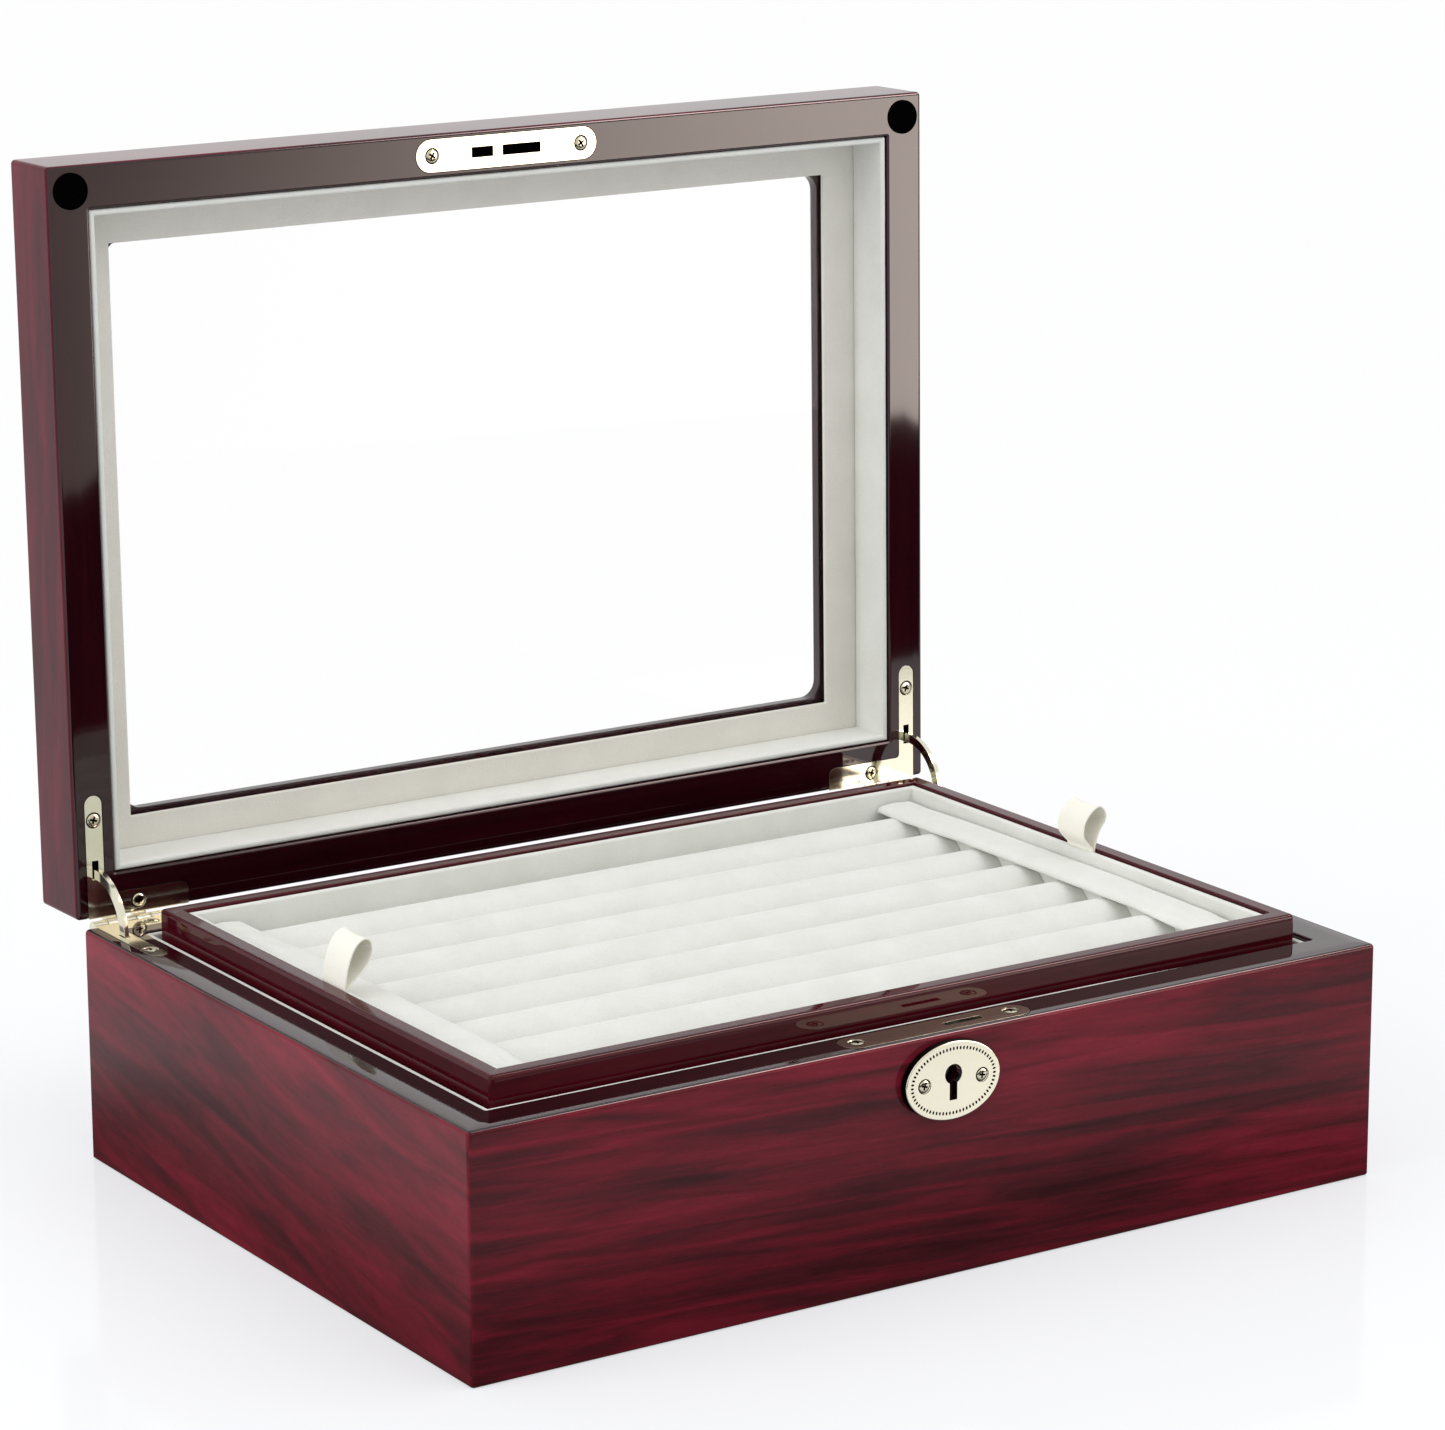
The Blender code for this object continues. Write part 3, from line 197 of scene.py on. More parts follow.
# %% Studio
SKY_STRENGTH = 0.74
OVERHEAD_SIZE = 1.6
OVERHEAD_PLACE = Vector((0.45, -0.65, 1.4))
OVERHEAD_POWER = 9.0
LEFT_SIZE = 1.0
LEFT_PLACE = Vector((-1.5, 0.15, 0.75))
LEFT_POWER = 11.0
FLOOR_HALF = 6.0
FLOOR_DROP = 0.0002
FLOOR_FAR_WHITE_SHARE = 0.93
FLOOR_NEAR_WHITE_SHARE = 0.55
FLOOR_NEAR = 0.03
FLOOR_FAR = 0.36
FLOOR_SHADE_SHARE = 0.85
FLOOR_SHADE_REACH = 0.10
FLOOR_ROUGHNESS = 0.10
FLOOR_IOR = 1.30
DARK_NEAR = -0.29
DARK_FAR = -0.99
DARK_LEFT = -0.40
DARK_RIGHT = 1.80
DARK_HEIGHT = 0.0004
SCREEN_AZIMUTH = math.radians(13.2)
SCREEN_DISTANCE = 0.93
SCREEN_LEFT = -0.10
SCREEN_RIGHT = 0.95
SCREEN_GRADE_LEFT = 0.08
SCREEN_GRADE_RIGHT = 0.60
SCREEN_LOW = 0.001
SCREEN_HIGH = 0.60
SCREEN_STRENGTH = 8.3
SCREEN_DIM_SHARE = 0.12
GLINT_SIZE = 0.45
FRONT_GLINT_PLACE = Vector((0.85, -0.40, 1.30))
FRONT_GLINT_STRENGTH = 18.0


def any_seen_ray(tree):
    """A node that is 1 for what the camera sees, straight, in a mirror or through glass."""
    path = add_node(tree, "ShaderNodeLightPath")
    straight = {0: path.outputs["Is Camera Ray"], 1: path.outputs["Is Glossy Ray"]}
    mirrored = add_node(tree, "ShaderNodeMath", straight, operation="MAXIMUM")
    either = {0: mirrored.outputs[0], 1: path.outputs["Is Transmission Ray"]}
    return add_node(tree, "ShaderNodeMath", either, operation="MAXIMUM")


def light_sky():
    world = bpy.data.worlds.new("studio")
    bpy.context.scene.world = world
    world.use_nodes = True
    tree = world.node_tree
    tree.nodes.clear()
    shown = any_seen_ray(tree)
    soft = add_node(tree, "ShaderNodeBackground", {"Color": linear("#ffffff"), "Strength": SKY_STRENGTH})
    white = add_node(tree, "ShaderNodeBackground", {"Color": linear("#ffffff"), "Strength": 1.0})
    both = {0: shown.outputs[0], 1: soft.outputs[0], 2: white.outputs[0]}
    mixed = add_node(tree, "ShaderNodeMixShader", both)
    add_node(tree, "ShaderNodeOutputWorld", {"Surface": mixed.outputs[0]})


def flat_square(name, corners):
    mesh = bpy.data.meshes.new(name)
    mesh.from_pydata(corners, [], [(0, 1, 2, 3)])
    obj = bpy.data.objects.new(name, mesh)
    bpy.context.scene.collection.objects.link(obj)
    return obj


def floor_distance(tree):
    """A socket that gives how far a place on the floor is from the box, in metres."""
    place = add_node(tree, "ShaderNodeNewGeometry").outputs["Position"]
    half = [(cad_high[0] - cad_low[0]) / 2, (cad_high[1] - cad_low[1]) / 2, 1.0]
    size = add_node(tree, "ShaderNodeVectorMath", {0: place}, operation="ABSOLUTE")
    past = add_node(tree, "ShaderNodeVectorMath", {0: size.outputs[0], 1: half}, operation="SUBTRACT")
    nothing = {0: past.outputs[0], 1: (0.0, 0.0, 0.0)}
    outside = add_node(tree, "ShaderNodeVectorMath", nothing, operation="MAXIMUM")
    length = add_node(tree, "ShaderNodeVectorMath", {0: outside.outputs[0]}, operation="LENGTH")
    return length.outputs["Value"]


def lay_floor():
    reach = FLOOR_HALF
    drop = -FLOOR_DROP
    corners = [(-reach, -reach, drop), (reach, -reach, drop), (reach, reach, drop), (-reach, reach, drop)]
    floor = flat_square("floor", corners)
    material, tree = new_finish("white_acrylic_sweep")
    acrylic = {"Base Color": linear("#f2f5fc"), "Roughness": FLOOR_ROUGHNESS, "IOR": FLOOR_IOR}
    gloss = add_node(tree, "ShaderNodeBsdfPrincipled", acrylic)
    white = add_node(tree, "ShaderNodeEmission", {"Color": linear("#ffffff"), "Strength": 1.0})
    shown = any_seen_ray(tree)
    distance = floor_distance(tree)
    shares = mapped(distance, FLOOR_NEAR, FLOOR_FAR, FLOOR_NEAR_WHITE_SHARE, FLOOR_FAR_WHITE_SHARE)
    whiteness = add_node(tree, "ShaderNodeMapRange", shares, interpolation_type="SMOOTHSTEP")
    seen = {0: shown.outputs[0], 1: whiteness.outputs[0]}
    share = add_node(tree, "ShaderNodeMath", seen, operation="MULTIPLY")
    both = {0: share.outputs[0], 1: gloss.outputs[0], 2: white.outputs[0]}
    mixed = add_node(tree, "ShaderNodeMixShader", both)

    # What the floor throws back on the box fades close to it
    path = add_node(tree, "ShaderNodeLightPath")
    bounced = {0: path.outputs["Is Diffuse Ray"], 1: path.outputs["Is Glossy Ray"]}
    unseen = add_node(tree, "ShaderNodeMath", bounced, operation="MAXIMUM")
    shares = mapped(distance, 0.0, FLOOR_SHADE_REACH, FLOOR_SHADE_SHARE, 0.0)
    closeness = add_node(tree, "ShaderNodeMapRange", shares, interpolation_type="SMOOTHSTEP")
    dimming = {0: unseen.outputs[0], 1: closeness.outputs[0]}
    dim = add_node(tree, "ShaderNodeMath", dimming, operation="MULTIPLY")
    dark = add_node(tree, "ShaderNodeEmission", {"Color": linear("#000000"), "Strength": 0.0})
    both = {0: dim.outputs[0], 1: mixed.outputs[0], 2: dark.outputs[0]}
    floor.data.materials.append(show(material, add_node(tree, "ShaderNodeMixShader", both)))


def hang_lamp(name, place, size, power):
    lamp = bpy.data.lights.new(name, "AREA")
    lamp.shape = "SQUARE"
    lamp.size = size
    lamp.energy = power
    obj = bpy.data.objects.new(name, lamp)
    obj.location = place
    obj.rotation_euler = (CAMERA_TARGET - place).to_track_quat("-Z", "Y").to_euler()
    obj.visible_glossy = False
    bpy.context.scene.collection.objects.link(obj)


def reflection_card(name, corners, colour, strength):
    """A card that is seen only in reflections; its strength is a value or a function of its tree."""
    card = flat_square(name, corners)
    material, tree = new_finish(name)
    level = strength(tree) if callable(strength) else strength
    glow = add_node(tree, "ShaderNodeEmission", {"Color": linear(colour), "Strength": level})
    card.data.materials.append(show(material, glow))
    card.visible_camera = False
    card.visible_diffuse = False
    card.visible_transmission = False
    card.visible_shadow = False
    return card


def facing_square(place, size):
    """Corners of a square that faces the box."""
    turn = (CAMERA_TARGET - place).to_track_quat("-Z", "Y")
    spots = ((-1, -1), (1, -1), (1, 1), (-1, 1))
    return [place + (turn @ Vector((x, y, 0.0))) * (size / 2) for x, y in spots]


def stand_screen():
    """The bright screen, dim at its left end and bright at its right one."""
    centre = direction(SCREEN_AZIMUTH, 0.0) * SCREEN_DISTANCE
    along = Vector((math.cos(SCREEN_AZIMUTH), math.sin(SCREEN_AZIMUTH), 0.0))
    corners = []
    for across, z in (
        (SCREEN_RIGHT, SCREEN_LOW),
        (SCREEN_LEFT, SCREEN_LOW),
        (SCREEN_LEFT, SCREEN_HIGH),
        (SCREEN_RIGHT, SCREEN_HIGH),
    ):
        corners.append(centre + along * across + Vector((0.0, 0.0, z)))

    def graded(tree):
        place = add_node(tree, "ShaderNodeNewGeometry").outputs["Position"]
        across = add_node(tree, "ShaderNodeVectorMath", {0: place, 1: along}, operation="DOT_PRODUCT")
        dim = SCREEN_STRENGTH * SCREEN_DIM_SHARE
        ends = mapped(across.outputs["Value"], SCREEN_GRADE_LEFT, SCREEN_GRADE_RIGHT, dim, SCREEN_STRENGTH)
        return add_node(tree, "ShaderNodeMapRange", ends, interpolation_type="SMOOTHSTEP").outputs[0]

    reflection_card("bright_screen", corners, "#fff0e6", graded)


def set_cards():
    dark = [(DARK_LEFT, DARK_NEAR), (DARK_RIGHT, DARK_NEAR), (DARK_RIGHT, DARK_FAR), (DARK_LEFT, DARK_FAR)]
    reflection_card("dark_floor", [(x, y, DARK_HEIGHT) for x, y in dark], "#1c1c1e", 1.0)
    stand_screen()
    glint = facing_square(FRONT_GLINT_PLACE, GLINT_SIZE)
    reflection_card("front_glint", glint, "#ffdcd8", FRONT_GLINT_STRENGTH)


light_sky()
lay_floor()
hang_lamp("overhead_softbox", OVERHEAD_PLACE, OVERHEAD_SIZE, OVERHEAD_POWER)
hang_lamp("left_softbox", LEFT_PLACE, LEFT_SIZE, LEFT_POWER)
set_cards()
bpy.context.scene.view_settings.view_transform = "Standard"
print("studio lit, sky strength", SKY_STRENGTH)

# %% [markdown]
# The wood is a thin rosewood veneer under a thick clear lacquer, sanded and buffed to a mirror. What the eye
# gets is a dark red ground with soft brown-black bands along the grain, and over it a reflection that is
# faint head-on and strong at a glancing angle. The figure could be painted on, but noise stretched along the
# grain gives bands that never repeat. It reads a UV map in metres that runs along each board, so the figure
# turns at every mitre as it does on the real boards.

# %% Lacquered wood
CLOUD_SIZE = (0.17, 0.030, 1.0)
FIGURE_SIZE = (0.062, 0.0040, 1.0)
FIBRE_SIZE = (0.008, 0.0013, 1.0)
PORE_SIZE = (0.0045, 0.00022, 1.0)
GRAIN_NOISE = {"Scale": 1.0, "Detail": 3.0, "Roughness": 0.55, "Distortion": 0.7}
FIGURE_SHARE = 0.56
FIBRE_RANGE = (0.30, 0.70)
PORE_RANGE = (0.30, 0.42)
PORE_DARK_SHARE = 0.72
LACQUER_WAVE = 0.035
LACQUER_WAVE_DEPTH = 0.00002
LACQUER_ROUGHNESS = 0.045


def lacquered(name, stops, fibre_share, ior):
    """Bands, fibres and pores along the UV map's u direction, under a clear buffed lacquer."""
    material, tree = new_finish(name)
    grain = add_node(tree, "ShaderNodeUVMap", uv_map="grain").outputs[0]
    patterns = []
    for sizes in (CLOUD_SIZE, FIGURE_SIZE, FIBRE_SIZE, PORE_SIZE):
        fitted = add_node(tree, "ShaderNodeMapping", {"Vector": grain, "Scale": per_metre(sizes)})
        noisy = {"Vector": fitted.outputs[0], **GRAIN_NOISE}
        patterns.append(add_node(tree, "ShaderNodeTexNoise", noisy).outputs[0])
    clouds, bands, fibres, pores = patterns
    mixture = {MIX_FACTOR: FIGURE_SHARE, MIX_LOW: clouds, MIX_HIGH: bands}
    figure = add_node(tree, "ShaderNodeMix", mixture)
    ground = add_node(tree, "ShaderNodeValToRGB", {"Fac": figure.outputs[0]}, stops)
    shares = mapped(fibres, *FIBRE_RANGE, 1 - fibre_share, 1 + fibre_share)
    streak = add_node(tree, "ShaderNodeMapRange", shares)
    dash = add_node(tree, "ShaderNodeMapRange", mapped(pores, *PORE_RANGE, PORE_DARK_SHARE, 1.0))
    both = {0: streak.outputs[0], 1: dash.outputs[0]}
    shade = add_node(tree, "ShaderNodeMath", both, operation="MULTIPLY")
    shaded = {0: ground.outputs[0], "Scale": shade.outputs[0]}
    colour = add_node(tree, "ShaderNodeVectorMath", shaded, operation="SCALE")
    place = add_node(tree, "ShaderNodeTexCoord").outputs["Object"]
    waves = {"Vector": place, "Scale": 1 / LACQUER_WAVE, "Detail": 1.0}
    wave = add_node(tree, "ShaderNodeTexNoise", waves)
    depth = {"Height": wave.outputs[0], "Strength": 1.0, "Distance": LACQUER_WAVE_DEPTH}
    ripple = add_node(tree, "ShaderNodeBump", depth)
    lacquer = {
        "Base Color": colour.outputs[0],
        "Roughness": LACQUER_ROUGHNESS,
        "IOR": ior,
        "Normal": ripple.outputs[0],
    }
    return show(material, add_node(tree, "ShaderNodeBsdfPrincipled", lacquer))


# Dark brown-black bands over wine red, as seen through the lacquer
veneer_tones = [(0.34, "#3b151a"), (0.44, "#501a21"), (0.53, "#681a27"), (0.64, "#7f1f2f")]
veneer = lacquered("lacquered_rosewood_veneer", veneer_tones, fibre_share=0.08, ior=1.22)
# The lid's veneer is darker and browner than the base's
leaf_tones = [(0.34, "#340d16"), (0.44, "#41111b"), (0.53, "#521220"), (0.64, "#621627")]
lid_veneer = lacquered("lacquered_dark_rosewood_veneer", leaf_tones, fibre_share=0.08, ior=1.24)
# The solid lippings are stained nearly black, so that the eye reads them as a frame
black_stain = [(0.3, "#1a0308"), (0.7, "#2c070f")]
lipping = lacquered("lacquered_dark_lipping", black_stain, fibre_share=0.12, ior=1.50)
# The tray walls are stained a clear wine red, with little figure
wine_stain = [(0.3, "#34050d"), (0.7, "#4e0a17")]
tray_wood = lacquered("lacquered_tray_wood", wine_stain, fibre_share=0.12, ior=1.29)
print("lacquered woods:", veneer.name, lid_veneer.name, lipping.name, tray_wood.name)

# %% [markdown]
# Two surfaces of the box are so dark and matt that the eye gets little more than their darkness: the wood in
# the lock's pocket, which was cut after lacquering and only stained, and whose near-black tone also paints the
# shade inside that recess, and the black felt of the bumpers. Both get the same small tree, a fine grit in
# tone and relief with no mirror-like reflection at all.

# %% Matt dark surfaces
GRIT_DARK_SHARE = 0.6
GRIT_PALE_SHARE = 1.5
SAWN_GRIT = 0.0008
SAWN_DEPTH = 0.00002
FELT_GRIT = 0.0004
FELT_DEPTH = 0.0001


def matt_dark(name, colour, grit, depth, roughness):
    """A dark surface with a fine grit that reflects nothing sharply."""
    material, tree = new_finish(name)
    place = add_node(tree, "ShaderNodeTexCoord").outputs["Object"]
    speck = add_node(tree, "ShaderNodeTexNoise", {"Vector": place, "Scale": 1 / grit}).outputs[0]
    shares = mapped(speck, 0.0, 1.0, GRIT_DARK_SHARE, GRIT_PALE_SHARE)
    shade = add_node(tree, "ShaderNodeMapRange", shares)
    shaded = {0: linear(colour)[:3], "Scale": shade.outputs[0]}
    tone = add_node(tree, "ShaderNodeVectorMath", shaded, operation="SCALE")
    relief = add_node(tree, "ShaderNodeBump", {"Height": speck, "Strength": 1.0, "Distance": depth})
    matt = {
        "Base Color": tone.outputs[0],
        "Roughness": roughness,
        "Specular IOR Level": 0.0,
        "Normal": relief.outputs[0],
    }
    return show(material, add_node(tree, "ShaderNodeBsdfPrincipled", matt))


# The pocket's near-black is its dark stain together with painted shade for the recess
pocket_stain_and_shade = matt_dark("stained_bare_wood", "#0d0405", SAWN_GRIT, SAWN_DEPTH, roughness=0.85)
black_felt = matt_dark("black_felt", "#030303", FELT_GRIT, FELT_DEPTH, roughness=0.95)
print("matt dark surfaces:", pocket_stain_and_shade.name, black_felt.name)

# %% [markdown]
# The velvet is an ivory flocked cloth with a short dense pile. A pile scatters light forwards at its edges,
# so curved velvet looks almost evenly bright: that is the sheen. Its own surface is a fine tuft, half a
# millimetre across, with larger clouds where the nap was brushed another way.

# %% Velvet and ribbon
TUFT = 0.0005
TUFT_DEPTH = 0.00012
TUFT_SHARE = 0.35
NAP_CLOUD = 0.014
RIB_PITCH = 0.0005
RIB_DEPTH = 0.00002
# Blender's wave texture has this many waves in one unit at a scale of 1
WAVES_IN_A_UNIT = 20 / (2 * math.pi)


def velvet(name, low_colour, high_colour):
    """A flocked cloth: fine tufts, broad clouds in the nap, and a sheen."""
    material, tree = new_finish(name)
    place = add_node(tree, "ShaderNodeTexCoord").outputs["Object"]
    fine = {"Vector": place, "Scale": 1 / TUFT, "Detail": 2.0}
    tuft = add_node(tree, "ShaderNodeTexNoise", fine).outputs[0]
    broad = {"Vector": place, "Scale": 1 / NAP_CLOUD, "Detail": 3.0, "Roughness": 0.6}
    cloud = add_node(tree, "ShaderNodeTexNoise", broad).outputs[0]
    both = add_node(tree, "ShaderNodeMix", {MIX_FACTOR: TUFT_SHARE, MIX_LOW: cloud, MIX_HIGH: tuft})
    stops = [(0.35, low_colour), (0.65, high_colour)]
    colour = add_node(tree, "ShaderNodeValToRGB", {"Fac": both.outputs[0]}, stops)
    pile = add_node(tree, "ShaderNodeBump", {"Height": tuft, "Strength": 1.0, "Distance": TUFT_DEPTH})
    cloth = {
        "Base Color": colour.outputs[0],
        "Roughness": 1.0,
        "IOR": 1.45,
        "Specular IOR Level": 0.15,
        "Sheen Weight": 0.25,
        "Sheen Roughness": 0.45,
        "Normal": pile.outputs[0],
    }
    return show(material, add_node(tree, "ShaderNodeBsdfPrincipled", cloth))


def grosgrain():
    """Ribbed cream ribbon; its UV map runs along the ribbon in metres."""
    material, tree = new_finish("cream_grosgrain_ribbon")
    weave = add_node(tree, "ShaderNodeUVMap", uv_map="weave").outputs[0]
    pattern = {"Vector": weave, "Scale": 1 / RIB_PITCH / WAVES_IN_A_UNIT, "Distortion": 0.6}
    ribs = add_node(tree, "ShaderNodeTexWave", pattern).outputs["Fac"]
    stops = [(0.0, "#ebe9dc"), (0.6, "#f2f0e6")]
    colour = add_node(tree, "ShaderNodeValToRGB", {"Fac": ribs}, stops)
    relief = add_node(tree, "ShaderNodeBump", {"Height": ribs, "Strength": 1.0, "Distance": RIB_DEPTH})
    cloth = {
        "Base Color": colour.outputs[0],
        "Roughness": 0.7,
        "Sheen Weight": 0.25,
        "Sheen Roughness": 0.4,
        "Normal": relief.outputs[0],
    }
    return show(material, add_node(tree, "ShaderNodeBsdfPrincipled", cloth))


ivory_velvet = velvet("ivory_velvet", "#dadbd5", "#e2e3de")
# A darker, warmer copy of the velvet: painted shade for the window frame, which faces away from the light
shaded_velvet = velvet("warm_ivory_velvet", "#d8d5cd", "#dfdcd4")
ribbon_cloth = grosgrain()
print("soft finishes:", ivory_velvet.name, shaded_velvet.name, ribbon_cloth.name)

# %% [markdown]
# The hardware is brass under a thin pale gold plate, polished before it was plated: a bright, warm mirror
# with faint lines from the polishing wheel. Its edges are rubbed, so they scatter light from every side, and
# they are given a paler tint than the plate, a painted highlight. A dull brown patina stays in the punch
# marks; the same brown is grime and painted shade in the crosses of the screws and round their heads, and
# painted shade on the escutcheon's rim. The lock's case and bolt are zinc-plated steel, greyer and duller. A
# metal has no colour of its own but that of its reflection, so the base colour is the tint.

# %% Metals, glass and plywood
POLISH_SIZE = (0.012, 0.0005, 0.0005)
ZINC_SIZE = (0.0012, 0.0012, 0.0012)
POLISH_DEPTH = 0.0000015
SMOOTHEST_SHARE = 0.7
ROUGHEST_SHARE = 1.3
PLY_SIZE = (0.05, 0.0012, 0.0012)
PANE_IOR = 1.12


def metal(name, colour, roughness, sizes=POLISH_SIZE):
    """Tinted mirror with fine lines across X, its roughness varied a little by the same noise."""
    material, tree = new_finish(name)
    place = add_node(tree, "ShaderNodeTexCoord").outputs["Object"]
    drawn = add_node(tree, "ShaderNodeMapping", {"Vector": place, "Scale": per_metre(sizes)})
    fine = {"Vector": drawn.outputs[0], "Scale": 1.0, "Detail": 3.0}
    lines = add_node(tree, "ShaderNodeTexNoise", fine).outputs[0]
    ends = mapped(lines, 0.0, 1.0, roughness * SMOOTHEST_SHARE, roughness * ROUGHEST_SHARE)
    dull = add_node(tree, "ShaderNodeMapRange", ends)
    relief = add_node(tree, "ShaderNodeBump", {"Height": lines, "Strength": 1.0, "Distance": POLISH_DEPTH})
    plate = {
        "Base Color": linear(colour),
        "Metallic": 1.0,
        "Roughness": dull.outputs[0],
        "Normal": relief.outputs[0],
    }
    return show(material, add_node(tree, "ShaderNodeBsdfPrincipled", plate))


def float_glass():
    """Clear pane that lets light through without a hard shadow."""
    material, tree = new_finish("clear_float_glass")
    path = add_node(tree, "ShaderNodeLightPath")
    clear_pane = {
        "Base Color": linear("#ffffff"),
        "Roughness": 0.0,
        "IOR": PANE_IOR,
        "Transmission Weight": 1.0,
    }
    pane = add_node(tree, "ShaderNodeBsdfPrincipled", clear_pane)
    clear = add_node(tree, "ShaderNodeBsdfTransparent", {"Color": linear("#fcfdfd")})
    both = {0: path.outputs["Is Shadow Ray"], 1: pane.outputs[0], 2: clear.outputs[0]}
    return show(material, add_node(tree, "ShaderNodeMixShader", both))


def plywood():
    """Pale fibres along X, the face veneer of a thin panel."""
    material, tree = new_finish("birch_plywood")
    place = add_node(tree, "ShaderNodeTexCoord").outputs["Object"]
    drawn = add_node(tree, "ShaderNodeMapping", {"Vector": place, "Scale": per_metre(PLY_SIZE)})
    fine = {"Vector": drawn.outputs[0], "Scale": 1.0, "Detail": 4.0}
    fibres = add_node(tree, "ShaderNodeTexNoise", fine).outputs[0]
    stops = [(0.3, "#a8835a"), (0.5, "#c6a27a"), (0.7, "#d8bb94")]
    colour = add_node(tree, "ShaderNodeValToRGB", {"Fac": fibres}, stops)
    panel = {"Base Color": colour.outputs[0], "Roughness": 0.75}
    return show(material, add_node(tree, "ShaderNodeBsdfPrincipled", panel))


# Flat faces of the plate: a warm mirror
pale_gold = metal("pale_gold_plated_brass", "#dfdcc8", roughness=0.11)
# Screw heads are turned, not polished, and look a shade darker
screw_gold = metal("turned_gold_plated_brass", "#c8c3ab", roughness=0.12)
# Rubbed edges scatter light from every side; their paler tint is a painted highlight
rubbed_edge_highlight = metal("rubbed_gold_plated_brass", "#f0e8d2", roughness=0.42)
# A dull brown that hardly reflects: patina in the punch marks, grime and painted shade on the screws, and
# painted shade on the escutcheon's rim
patina_and_shade_gold = metal("tarnished_brass", "#15110b", roughness=0.60)
# Zinc is a soft blue-grey without polishing lines
zinc = metal("zinc_plated_steel", "#b9bcc0", roughness=0.36, sizes=ZINC_SIZE)
glass = float_glass()
birch = plywood()
plates = (pale_gold, screw_gold, rubbed_edge_highlight, patina_and_shade_gold, zinc)
print("hard finishes:", ", ".join(finish.name for finish in (*plates, glass, birch)))

# %% [markdown]
# Nearly every piece of a box is an outline carried along or stacked up. Three helpers cover that: a loft that
# skins a stack of rings, a plate cut from flat outlines, and a cut that takes one shape out of another. A
# last one turns an object with its modifiers into a plain mesh that sits at the origin.

# %% Helpers for shapes
MERGE = 0.000002
CORNER_STEPS = 6
ARC_STEPS = 4
SMOOTH_ANGLE = math.radians(32.0)
OVERRUN = 0.002
FIT = 0.00025
NO_TURN = Matrix.Identity(4)


def new_object(name, mesh):
    obj = bpy.data.objects.new(name, mesh)
    bpy.context.scene.collection.objects.link(obj)
    return obj


def ring(half_x, half_y, radius, z, side_steps=1, steps=CORNER_STEPS):
    """Points of a rounded rectangle, anticlockwise, as many for any size."""
    corners = []
    for quarter, (x_sign, y_sign) in enumerate(((1, 1), (-1, 1), (-1, -1), (1, -1))):
        centre = Vector((x_sign * (half_x - radius), y_sign * (half_y - radius), z))
        angles = [(quarter + step / steps) * math.pi / 2 for step in range(steps + 1)]
        corners.append([centre + Vector((math.cos(a), math.sin(a), 0.0)) * radius for a in angles])
    points = []
    for index, arc_points in enumerate(corners):
        following = corners[(index + 1) % len(corners)][0]
        points += arc_points
        for step in range(1, side_steps):
            points.append(arc_points[-1].lerp(following, step / side_steps))
    return points


def loft(name, rings, looped=False):
    """A closed skin over rings of equal counts; looped joins the last ring to the first."""
    bm = bmesh.new()
    rows = [[bm.verts.new(point) for point in points] for points in rings]
    pairs = list(zip(rows, rows[1:]))
    if looped:
        pairs.append((rows[-1], rows[0]))
    for lower, upper in pairs:
        for index, vert in enumerate(lower):
            following = (index + 1) % len(lower)
            bm.faces.new((vert, lower[following], upper[following], upper[index]))
    if not looped:
        bm.faces.new(list(reversed(rows[0])))
        bm.faces.new(rows[-1])
    bmesh.ops.remove_doubles(bm, verts=bm.verts, dist=MERGE)
    bmesh.ops.recalc_face_normals(bm, faces=bm.faces)
    mesh = bpy.data.meshes.new(name)
    bm.to_mesh(mesh)
    bm.free()
    return new_object(name, mesh)


def circle(count):
    """Cosine and sine of even steps round a full turn."""
    turns = [2 * math.pi * step / count for step in range(count)]
    return [(math.cos(turn), math.sin(turn)) for turn in turns]


def quarter_round(start, end, corner, steps=ARC_STEPS):
    """Points of a quarter ellipse from start to end, bulging towards the corner of their square."""
    start, end, corner = Vector(start), Vector(end), Vector(corner)
    centre = start + end - corner
    turn = [step / steps * math.pi / 2 for step in range(steps + 1)]
    return [centre + (start - centre) * math.cos(a) + (end - centre) * math.sin(a) for a in turn]


def fillet(points, radii, steps=CORNER_STEPS):
    """A closed flat outline whose corners are rounded, each by its own radius."""
    outline = []
    for index, (point, radius) in enumerate(zip(points, radii)):
        corner = Vector(point)
        if not radius:
            outline.append(corner)
            continue
        before = (Vector(points[index - 1]) - corner).normalized()
        after = (Vector(points[(index + 1) % len(points)]) - corner).normalized()
        half = before.angle(after) / 2
        centre = corner + (before + after).normalized() * (radius / math.sin(half))
        start = corner + before * (radius / math.tan(half)) - centre
        end = corner + after * (radius / math.tan(half)) - centre
        turn = start.angle_signed(end)
        for step in range(steps + 1):
            outline.append(centre + Matrix.Rotation(-turn * step / steps, 2) @ start)
    return outline


def rectangle(left, right, low, high, radius=0.0):
    corners = [(left, low), (right, low), (right, high), (left, high)]
    return fillet(corners, [radius] * len(corners))


def prism(name, outline, low, high):
    """A solid between two heights over a flat outline, its sides upright."""
    rings = [[Vector((point[0], point[1], z)) for point in outline] for z in (low, high)]
    return loft(name, rings)


def box_solid(name, low, high):
    return prism(name, rectangle(low[0], high[0], low[1], high[1]), low[2], high[2])


def cut(obj, cutters, operation="DIFFERENCE"):
    """Take the cutters out of an object, one after another, and remove them."""
    for cutter in cutters:
        step = obj.modifiers.new("cut", "BOOLEAN")
        step.operation = operation
        step.solver = "EXACT"
        step.object = cutter
        step.material_mode = "TRANSFER"
    settle(obj)
    for cutter in cutters:
        bpy.data.objects.remove(cutter, do_unlink=True)
    return obj


